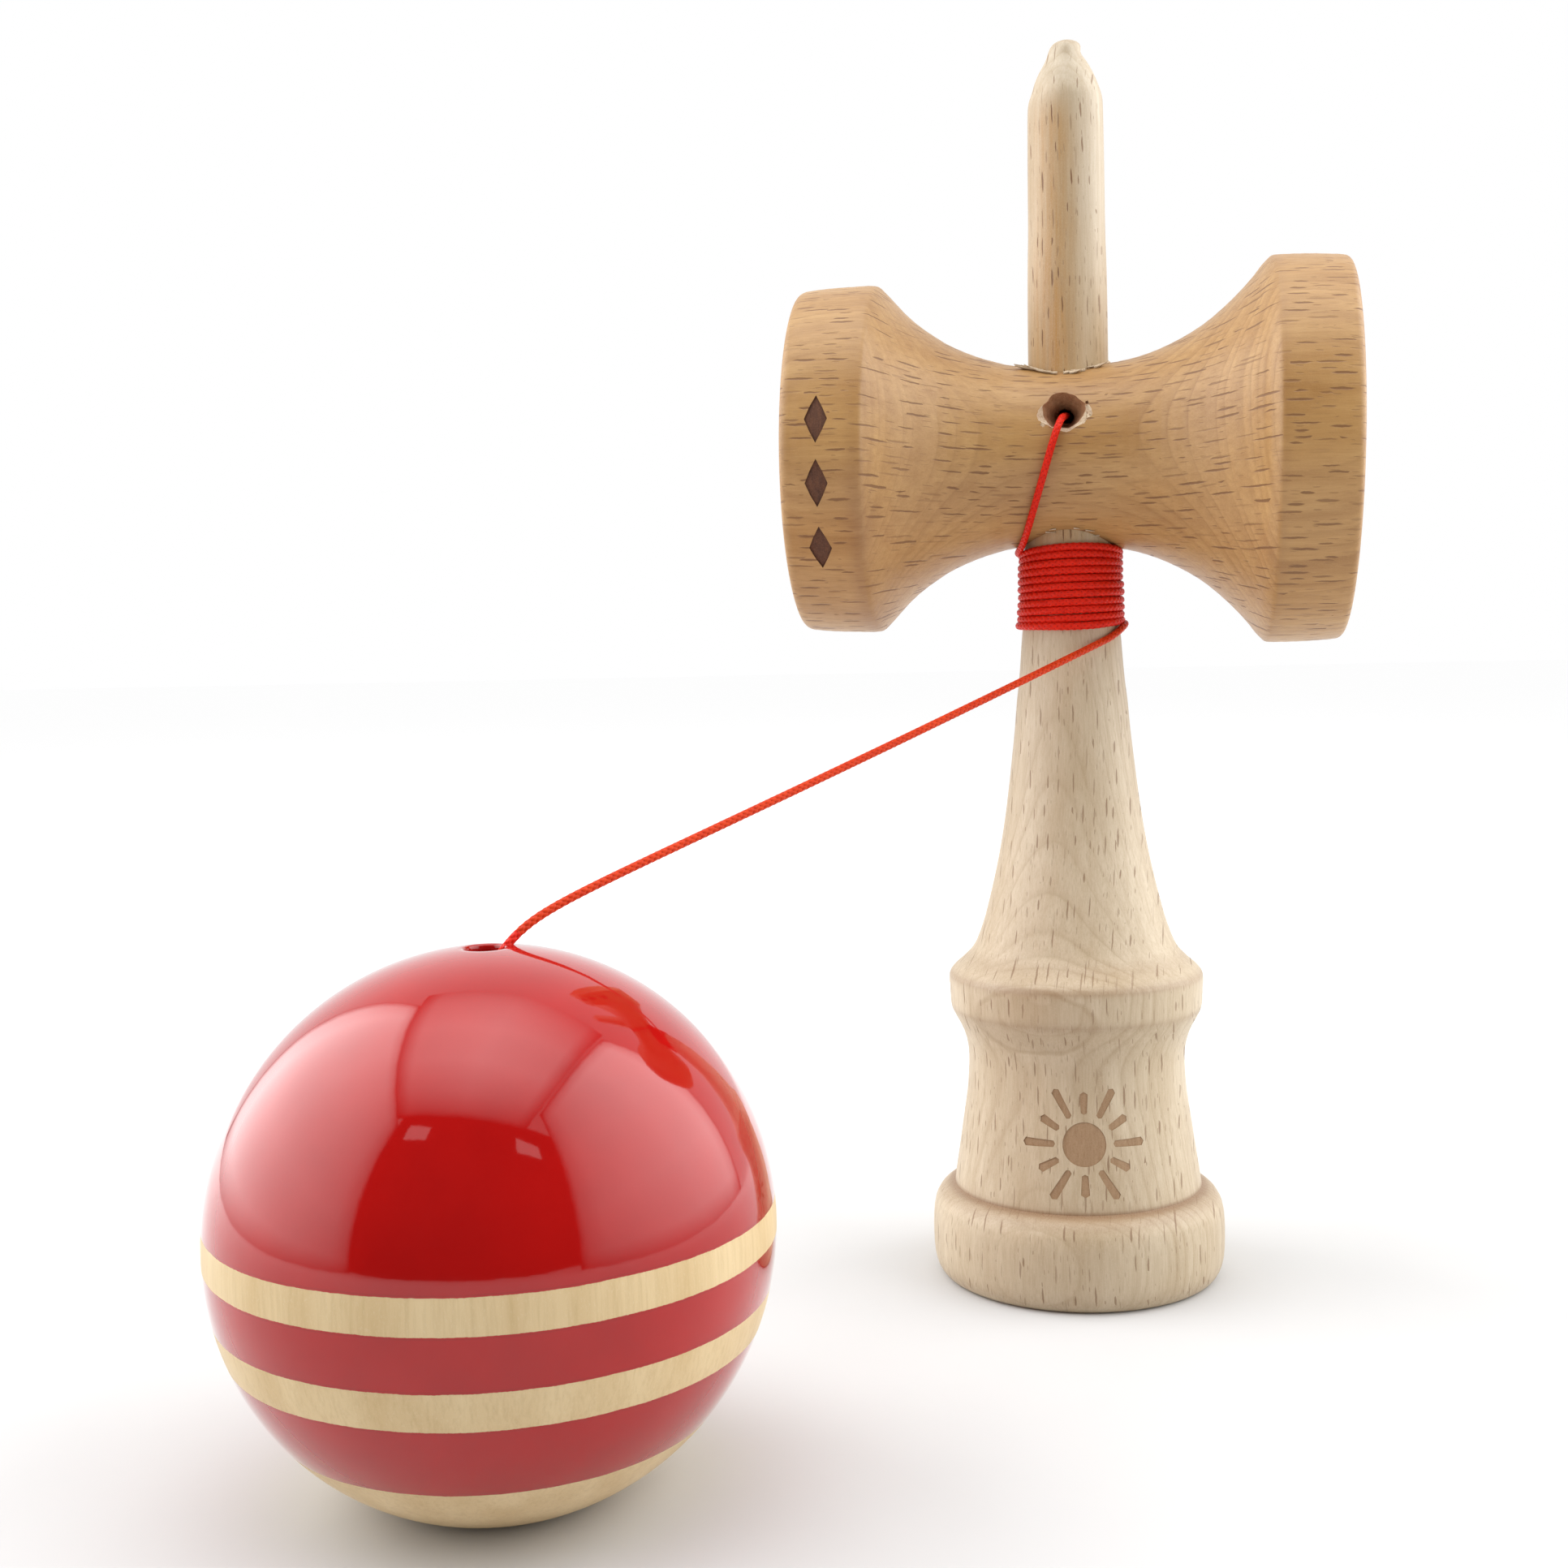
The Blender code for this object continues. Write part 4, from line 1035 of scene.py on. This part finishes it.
# three lozenges in a column, burned into the small cup's band
band_r = 23.5
marks = []
for angle in (8.7, -11.3, -32.7):
    shape = [(0.0, 3.1), (0.85, 1.5), (1.5, 0.0), (0.85, -1.5), (0.0, -3.1), (-0.85, -1.5), (-1.5, 0.0), (-0.85, 1.5)]
    inner = []
    marks.append((angle, shape))


def band_cutter(name, depth=0.20, high=0.8):
    """The lozenges, laid on the band: u runs along the cross-piece, v round it."""
    bm = bmesh.new()
    to_world = Matrix.Translation((0, 0, SARADO_Z * MM)) @ turn
    for angle, shape in marks:
        pts = np.asarray(shape, float)
        rows = [pts, pts * 0.6, pts * 0.25]
        layers = []
        for level in (-depth, high):
            made = []
            for row in rows + [np.zeros((1, 2))]:
                ring = []
                for u, v in row:
                    s_here = -31.3 + u
                    r = float(sar_radius(s_here)) + level
                    a = math.radians(angle) + v / band_r
                    # angle is measured up from the side that faces the viewer (world -Y)
                    y, z = -r * math.cos(a), r * math.sin(a)
                    # local axes of the turned piece: x is world down, y is world y, z is the axis
                    ring.append(bm.verts.new(to_world @ Vector((-z * MM, y * MM, s_here * MM))))
                made.append(ring)
            layers.append(made)
        n = len(pts)
        for made in layers:
            for a_row, b_row in zip(made[:-2], made[1:-1]):
                for k in range(n):
                    m = (k + 1) % n
                    bm.faces.new((a_row[k], a_row[m], b_row[m], b_row[k]))
            for k in range(n):
                bm.faces.new((made[-2][k], made[-2][(k + 1) % n], made[-1][0]))
        for k in range(n):
            m = (k + 1) % n
            bm.faces.new((layers[0][0][k], layers[0][0][m], layers[1][0][m], layers[1][0][k]))
    bmesh.ops.recalc_face_normals(bm, faces=bm.faces)
    mesh = bpy.data.meshes.new(name)
    bm.to_mesh(mesh)
    bm.free()
    mesh.materials.append(SCORCH)
    obj = bpy.data.objects.new(name, mesh)
    bpy.context.scene.collection.objects.link(obj)
    return obj


def lumpy_cutter(name, centre, radii, mats, seed, rough=0.22, steps=22):
    """A closed, uneven lump, for a torn place."""
    r = np.random.default_rng(seed)
    verts, faces = [], []
    rings = steps // 2
    lump = r.normal(0, rough, (rings + 1, steps))
    for i in range(rings + 1):
        t = math.pi * i / rings
        for k in range(steps):
            a = TAU * k / steps
            q = 1 + lump[i, k] * (0 if i in (0, rings) else 1)
            verts.append((centre[0] + radii[0] * math.sin(t) * math.cos(a) * q,
                          centre[1] + radii[1] * math.cos(t) * q,
                          centre[2] + radii[2] * math.sin(t) * math.sin(a) * q))
    for i in range(rings):
        for k in range(steps):
            m = (k + 1) % steps
            faces.append((i * steps + k, i * steps + m, (i + 1) * steps + m, (i + 1) * steps + k))
    obj = object_from(name, np.array(verts) * MM, faces, mats, smooth=False)
    bm = bmesh.new()
    bm.from_mesh(obj.data)
    bmesh.ops.remove_doubles(bm, verts=bm.verts, dist=1e-6)
    bmesh.ops.recalc_face_normals(bm, faces=bm.faces)
    bm.to_mesh(obj.data)
    bm.free()
    return obj


bore_rows = [(k / 11, float(ken_r(95.0 + 36.0 * k / 11)) + 0.06) for k in range(12)]
bore = cylinder_cutter("cut_bore", 0, 0, (0, 0, 95.0), (0, 0, 131.0), [HOLE_WALL], steps=72, flare=bore_rows)


def funnel_cutter(name, rows, mats, seed, rough=0.04, steps=56):
    """A closed cutter through uneven outlines: rows of (y, centre x, centre z, half width, half height)."""
    r = np.random.default_rng(seed)
    around = np.linspace(0, TAU, steps, endpoint=False)
    ragged = sum(r.normal(0, rough / (1 + 0.35 * k)) * np.cos(k * around + r.uniform(0, TAU)) for k in range(2, 13))
    verts, faces = [], []
    for y, x, z, wide, high in rows:
        for k, q in enumerate(around):
            f = 1 + ragged[k] + r.normal(0, rough * 0.18)
            verts.append((x + wide * math.cos(q) * f, y, z + high * math.sin(q) * f))
    n = len(rows)
    for i in range(n - 1):
        for k in range(steps):
            m = (k + 1) % steps
            faces.append((i * steps + k, i * steps + m, (i + 1) * steps + m, (i + 1) * steps + k))
    faces.append(tuple(range(steps))[::-1])
    faces.append(tuple((n - 1) * steps + k for k in range(steps)))
    obj = object_from(name, np.array(verts) * MM, faces, mats, smooth=False)
    bm = bmesh.new()
    bm.from_mesh(obj.data)
    bmesh.ops.triangulate(bm, faces=[f for f in bm.faces if len(f.verts) > 4])
    bmesh.ops.recalc_face_normals(bm, faces=bm.faces)
    bm.to_mesh(obj.data)
    bm.free()
    return obj


# the string's hole: a drilled bore, a funnel worn towards its lower lip, a ragged pale rim
front = funnel_cutter("cut_front", [(-2.0, -0.3, 118.0, 1.05, 1.0), (-5.4, -0.3, 117.9, 1.05, 1.0), (-6.4, -0.3, 117.85, 1.20, 1.15),
                                    (-7.6, -0.32, 118.0, 1.70, 1.65), (-8.6, -0.35, 118.3, 2.15, 2.15), (-9.4, -0.38, 118.4, 2.45, 2.38),
                                    (-10.3, -0.4, 118.35, 2.70, 2.42), (-11.4, -0.42, 118.3, 2.90, 2.40),
                                    (-12.3, -0.45, 118.3, 3.15, 2.5), (-15.0, -0.45, 118.3, 4.0, 2.8)],
                      [HOLE_WALL], 4, 0.035)
rim_cut = funnel_cutter("cut_rim", [(-9.9, -0.4, 118.0, 2.20, 1.7), (-10.4, -0.4, 118.05, 2.85, 2.05), (-10.9, -0.4, 118.1, 3.30, 2.45),
                                    (-11.5, -0.4, 118.2, 3.45, 2.62), (-12.6, -0.4, 118.2, 3.65, 2.8), (-14.0, -0.4, 118.2, 4.2, 3.2)],
                        [TORN], 17, 0.055)
torn = lumpy_cutter("cut_torn", (2.05, -11.45, 118.35), (1.35, 1.15, 1.75), [TORN], 5, 0.14)
dip = lumpy_cutter("cut_dip", (2.65, -10.9, 119.2), (0.30, 0.8, 0.42), [HOLE_WALL], 9, 0.1, 12)
chip_l = lumpy_cutter("cut_chip", (-3.0, -12.0, 117.3), (0.60, 0.75, 1.35), [TORN], 8, 0.12)
cut_away(sarado, [bore, rim_cut, torn, front, dip, chip_l, band_cutter("cut_lozenges")])
co = coordinates(sarado) / MM
rel = co - np.array([0, 0, SARADO_Z])
cosl, sinl = math.cos(SARADO_LEAN), math.sin(SARADO_LEAN)
s_axis = rel[:, 0] * cosl - rel[:, 2] * sinl
v_axis = rel[:, 0] * sinl + rel[:, 2] * cosl
set_vector(sarado, "wood", np.column_stack([v_axis, rel[:, 1], s_axis]))
r_axis = np.hypot(rel[:, 1], v_axis)
from_bore = np.hypot(co[:, 0], co[:, 1]) - ken_r(np.clip(co[:, 2], 90, 140))
# the underside, where painted shade is added at the small cup's edge
low_side = 1 / (1 + np.exp(v_axis / 4.0))
# Darker lines at the cup edges: partly burnish, partly painted shade, with more painted shade on the underside of the
# small cup's edge. Painted shade where the handle enters the bore; darker about the middle and round the string hole's
# mouth.
sar_burnish_and_shade = (0.24 * band(s_axis, 26.6, 0.7) + (0.14 + 0.40 * low_side) * band(s_axis, -26.4, 1.3) + 0.16 * band(s_axis, 36.1, 0.5)
            + 0.16 * band(s_axis, -36.2, 0.5)) * (r_axis > 20)
# painted shade in the crevice round the handle
sar_burnish_and_shade += 0.62 * np.exp(-np.clip(from_bore, 0, None) / 0.5) * (r_axis < 14)
sar_burnish_and_shade += 0.10 * np.exp(-(s_axis / 9.0) ** 2)
mouth_d = np.hypot(co[:, 0] + 0.35, co[:, 2] - CORD_HOLE_Z)
sar_burnish_and_shade += 0.38 * np.exp(-np.clip(mouth_d - 2.7, 0, None) / 0.5) * (rel[:, 1] < -8) * (mouth_d < 6)
set_float(sarado, "burn", np.clip(sar_burnish_and_shade, 0, 0.8))
sarado.data.shade_smooth()
sarado.data.set_sharp_from_angle(angle=math.radians(42))
sarado.location = (KEN_X * MM, KEN_Y * MM, 0.0)
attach(sarado, "handle")
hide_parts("sarado")


# splinters and burrs where the handle goes through the cross-piece
def sliver(verts, faces, start, end, width, thick, lift, r, bend=0.0):
    """A thin torn fibre from start to end, both (x, y, z) mm, its far end lifted."""
    start, end = np.array(start, float), np.array(end, float)
    axis = end - start
    length = np.linalg.norm(axis)
    axis /= length
    side = np.cross(axis, [0, 0, 1.0])
    side /= max(np.linalg.norm(side), 1e-6)
    rows = 7
    base = len(verts)
    for i in range(rows):
        q = i / (rows - 1)
        mid = start + axis * length * q + np.array([0, 0, lift * q ** 1.6]) + side * bend * math.sin(math.pi * q)
        w = width * (1 - 0.82 * q ** 1.4) * (1 + r.normal(0, 0.10))
        h = thick * (1 - 0.75 * q)
        upward = np.array([0, 0, 1.0])
        for a in np.linspace(0, TAU, 6, endpoint=False):
            verts.append(mid + side * w * math.cos(a) + upward * h * math.sin(a))
    for i in range(rows - 1):
        for k in range(6):
            m = (k + 1) % 6
            faces.append((base + i * 6 + k, base + i * 6 + m, base + (i + 1) * 6 + m, base + (i + 1) * 6 + k))
    faces.append(tuple(base + k for k in range(6))[::-1])
    faces.append(tuple(base + (rows - 1) * 6 + k for k in range(6)))


def waist_top(x, y, sign=1):
    """Height of the cross-piece's surface over (x, y) mm from the handle's axis."""
    s_here = x
    r = float(sar_radius(s_here))
    return SARADO_Z - x * math.tan(SARADO_LEAN) + sign * math.sqrt(max(r * r - y * y, 0.0))


verts, faces = [], []
r = np.random.default_rng(21)
for angle, out, long, wide, lift in [
        (-134, 0.30, 3.1, 0.85, 0.42), (-123, 0.30, 2.7, 0.62, 0.75), (-112, 0.3, 2.0, 0.45, 0.30),
        (-103, 0.35, 1.9, 0.50, 0.42), (-95, 0.25, 1.6, 0.40, 0.25), (-86, 0.3, 1.6, 0.45, 0.50), (-78, 0.2, 1.4, 0.35, 0.22),
        (-66, 0.3, 1.9, 0.36, 0.35), (-52, 0.3, 2.0, 0.40, 0.60), (-40, 0.25, 1.8, 0.36, 0.30), (-15, 0.2, 1.5, 0.30, 0.20),
        (170, 0.2, 1.5, 0.22, 0.30), (-165, 0.25, 1.8, 0.24, 0.22), (-146, 0.2, 1.6, 0.20, 0.30),
        (60, 0.2, 1.6, 0.20, 0.15), (95, 0.2, 1.3, 0.18, 0.2), (130, 0.2, 1.4, 0.2, 0.1)]:
    a = math.radians(angle)
    x, y = (5.45 + out) * math.cos(a), (5.45 + out) * math.sin(a)
    heading = 1.0 if r.uniform() < 0.55 else -1.0
    if angle in (-128, -120):
        heading = 1.0
    x2, y2 = x + heading * long * 0.96, y - long * r.uniform(-0.10, 0.28)
    inside = math.hypot(x2, y2) < 5.5
    if inside:
        y2 = -math.sqrt(max(5.62 ** 2 - min(abs(x2), 5.5) ** 2, 0.3)) if y < 0 else math.sqrt(max(5.62 ** 2 - min(abs(x2), 5.5) ** 2, 0.3))
    sliver(verts, faces, (x, y, waist_top(x, y) + 0.04), (x2, y2, waist_top(x2, y2) + 0.05), wide, 0.24, lift, r)
for angle, long in [(-118, 1.3), (-105, 0.9), (-84, 0.8), (-70, 1.2), (-52, 0.9), (70, 1.0), (110, 0.9)]:
    a = math.radians(angle)
    x, y = 6.55 * math.cos(a), 6.55 * math.sin(a)
    x2 = x + long * (1 if r.uniform() < 0.5 else -1)
    sliver(verts, faces, (x, y, waist_top(x, y, -1) - 0.02), (x2, y * 1.02, waist_top(x2, y * 1.02, -1) - 0.05), 0.22, 0.12, -0.15, r)
burrs = object_from("torn_fibres", np.array(verts) * MM, faces, [TORN])
burrs.location = (KEN_X * MM, KEN_Y * MM, 0.0)
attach(burrs, "handle")

# ----------------------------------------------------------------------- ball
hole_r = 2.15
round_r = 0.38
top_edge = math.acos((hole_r + round_r) / BALL_R)
low_edge = math.acos((ANA_R + 0.42) / BALL_R)
shell = [(BALL_R * math.cos(a), BALL_Z + BALL_R * math.sin(a)) for a in np.linspace(top_edge, -low_edge, 150)]
z_top = shell[0][1]
rim = [(hole_r + 0.01, z_top - 1.05), (hole_r + 0.02, z_top - 0.50), (hole_r + 0.08, z_top - 0.20),
       (hole_r + 0.20, z_top - 0.05)]
ana_rim = [(ANA_R + 0.12, 0.03), (ANA_R - 0.18, 0.0), (ANA_R - 0.5, 0.12), (ANA_R - 0.72, 0.45), (ANA_R - 0.8, 1.0)]
inside = [(ANA_R - 0.9, 4.0), (10.0, 12.0), (9.45, 22.0), (8.9, 31.0), (ANA_TOP_R, 35.4), (8.1, 36.3), (5.0, 38.3),
          (3.1, 39.5), (hole_r + 0.05, 40.2), (hole_r, 45.0), (hole_r, 50.0), (hole_r, z_top - 2.0)]
ball_line = np.vstack([catmull(rim + shell[:1], 0.16)[:-1], shell, catmull(ana_rim, 0.2), catmull(inside, 0.9)])
tama = lathe("tama_turned", ball_line, 208, [RED], closed=True)
co = coordinates(tama) / MM
set_vector(tama, "wood", co - np.array([0, 0, BALL_Z]))
radius = np.hypot(co[:, 0], co[:, 1])
far = np.linalg.norm(co - np.array([0, 0, BALL_Z]), axis=1)
set_float(tama, "inner", ((far < BALL_R - 0.25) & (co[:, 2] < 42.0)).astype(float))
tama.data.shade_smooth()
tama.location = (BALL_X * MM, BALL_Y * MM, 0.0)
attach(tama, "ball")
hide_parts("tama")

bead_keys = [(1.05, 37.7), (1.3, 37.88), (1.9, 37.9), (2.6, 37.75), (3.3, 37.15), (3.8, 36.2), (4.0, 34.75),
             (3.8, 33.3), (3.3, 32.35), (2.6, 31.75), (1.9, 31.6), (1.3, 31.62), (1.05, 31.8), (1.0, 33.5), (1.0, 36.0)]
bead = lathe("bead_turned", np.vstack([catmull(bead_keys, 0.3), ]), 64, [BEAD_WOOD], closed=True)
co = coordinates(bead) / MM
set_vector(bead, "wood", co * 1.0)
set_float(bead, "burn", np.zeros(len(co)))
bead.location = (BALL_X * MM, BALL_Y * MM, 0.0)
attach(bead, "cord_end")
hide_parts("bead")


# ------------------------------------------------------------ floor and light
floor = object_from("floor", [(-4, -4, 0), (4, -4, 0), (4, 4, 0), (-4, 4, 0)], [(0, 1, 2, 3)], [], smooth=False)
t = Tree("floor_paper")
p = t.node("ShaderNodeTexCoord").outputs["Object"]
# painted shade: the paper is darker near the middle, to offset the brighter light of the tent there
away = t.fit(t.vmath("LENGTH", p), 0.10, 0.55, smooth=True)
paper = t.mix(away, (0.62, 0.62, 0.62), (0.985, 0.985, 0.985))
paper = t.mix(t.math("MULTIPLY", t.noise(t.vmath("MULTIPLY", p, (60.0, 60.0, 60.0)), 1.0, 3.0, 0.5), 0.04), paper, (1.0, 1.0, 1.0))
floor.data.materials.append(t.set(base=paper, rough=0.9, spec=0.0))



def one_sided(t, shader):
    """Let light through from behind, so that the floor outside the tent isn't in its shade."""
    pick = t.node("ShaderNodeMixShader", {"Fac": t.node("ShaderNodeNewGeometry").outputs["Backfacing"]})
    t.tree.links.new(shader, pick.inputs[1])
    t.tree.links.new(t.node("ShaderNodeBsdfTransparent").outputs[0], pick.inputs[2])
    t.tree.links.new(pick.outputs[0], t.out.inputs["Surface"])


flag = object_from("flag", [(-0.52, -0.72, 0.0), (0.86, -0.72, 0.0), (0.86, -0.72, 1.16), (-0.52, -0.72, 1.16)],
                   [(3, 2, 1, 0)], [], smooth=False)
t = Tree("flag_cloth")
p = t.node("ShaderNodeTexCoord").outputs["Object"]
cloth = t.mix(t.noise(t.vmath("MULTIPLY", p, (30.0, 30.0, 30.0)), 1.0, 3.0, 0.5), (0.025, 0.024, 0.023), (0.045, 0.043, 0.041))
flag.data.materials.append(t.set(base=cloth, rough=0.95, spec=0.0))
one_sided(t, t.bsdf.outputs[0])
flag.visible_camera = False

world = bpy.data.worlds.new("studio")
bpy.context.scene.world = world
world.use_nodes = True
world.node_tree.nodes["Background"].inputs["Color"].default_value = (1.0, 1.0, 1.0, 1.0)
world.node_tree.nodes["Background"].inputs["Strength"].default_value = 1.0


def panel(name, corners, radiance, across, upward, seen=False):
    """A glowing cloth with soft edges, bright on its front only. corners run round it from
    (0, 0) by (1, 0); across and upward are brightness stops along its two sides."""
    c = [Vector(k) for k in corners]
    inward = (c[1] - c[0]).cross(c[3] - c[0]).dot(Vector((0, 0, 0.1)) - c[0]) > 0
    obj = object_from(name, corners, [(0, 1, 2, 3) if inward else (3, 2, 1, 0)], [], smooth=False)
    place = obj.data.attributes.new("place", "FLOAT_VECTOR", "POINT")
    place.data.foreach_set("vector", np.array([(0, 0, 0), (1, 0, 0), (1, 1, 0), (0, 1, 0)], np.float32).ravel())
    t = Tree(name)
    u, v, _ = t.split(t.attribute("place"))
    shade = t.math("MULTIPLY", t.ramp(u, across), t.ramp(v, upward))
    glow = t.node("ShaderNodeEmission", {"Color": (1.0, 1.0, 1.0, 1.0), "Strength": t.math("MULTIPLY", shade, radiance)})
    one_sided(t, glow.outputs[0])
    obj.data.materials.append(t.mat)
    obj.visible_camera = seen
    return obj


# u runs from the front of the tent to its back, v from the floor up
SIDE = [(0.0, 0.0), (0.05, 0.30), (0.16, 0.52), (0.40, 0.80), (0.62, 1.0), (0.88, 1.0), (0.96, 0.7), (1.0, 0.15)]
RISE = [(0.0, 0.25), (0.06, 0.65), (0.22, 0.9), (0.5, 1.0), (0.86, 1.0), (0.95, 0.7), (1.0, 0.10)]
panel("softbox_left", [(-0.435, -0.605, 0.0), (-0.435, 0.305, 0.0), (-0.435, 0.305, 0.82), (-0.435, -0.605, 0.82)],
      3.9, SIDE, RISE)
panel("softbox_right", [(0.370, -0.370, 0.0), (0.370, 0.350, 0.0), (0.370, 0.350, 0.78), (0.370, -0.370, 0.78)],
      3.9, SIDE, RISE)
TOP = [(0.0, 0.0), (0.06, 0.28), (0.20, 0.60), (0.42, 1.0), (0.65, 0.95), (0.85, 0.60), (1.0, 0.30)]
panel("softbox_top", [(-0.43, -0.54, 0.81), (-0.43, 0.40, 0.81), (0.37, 0.40, 0.81), (0.37, -0.54, 0.81)],
      3.45, TOP, [(0.0, 0.2), (0.10, 0.75), (0.5, 1.0), (0.9, 0.75), (1.0, 0.2)])
EVEN = [(0.0, 1.0), (1.0, 1.0)]
panel("lamp_left", [(-0.40, -0.715, 0.80), (-0.24, -0.715, 0.80), (-0.235, -0.715, 0.94), (-0.40, -0.715, 0.97)],
      1.6, EVEN, EVEN)
panel("lamp_right", [(0.39, -0.715, 0.78), (0.60, -0.715, 0.78), (0.59, -0.715, 0.91), (0.40, -0.715, 0.95)],
      1.6, EVEN, EVEN)

scene = bpy.context.scene
scene.view_settings.view_transform = "Standard"
scene.view_settings.look = "None"
scene.view_settings.exposure = 0.0
scene.view_settings.gamma = 1.0
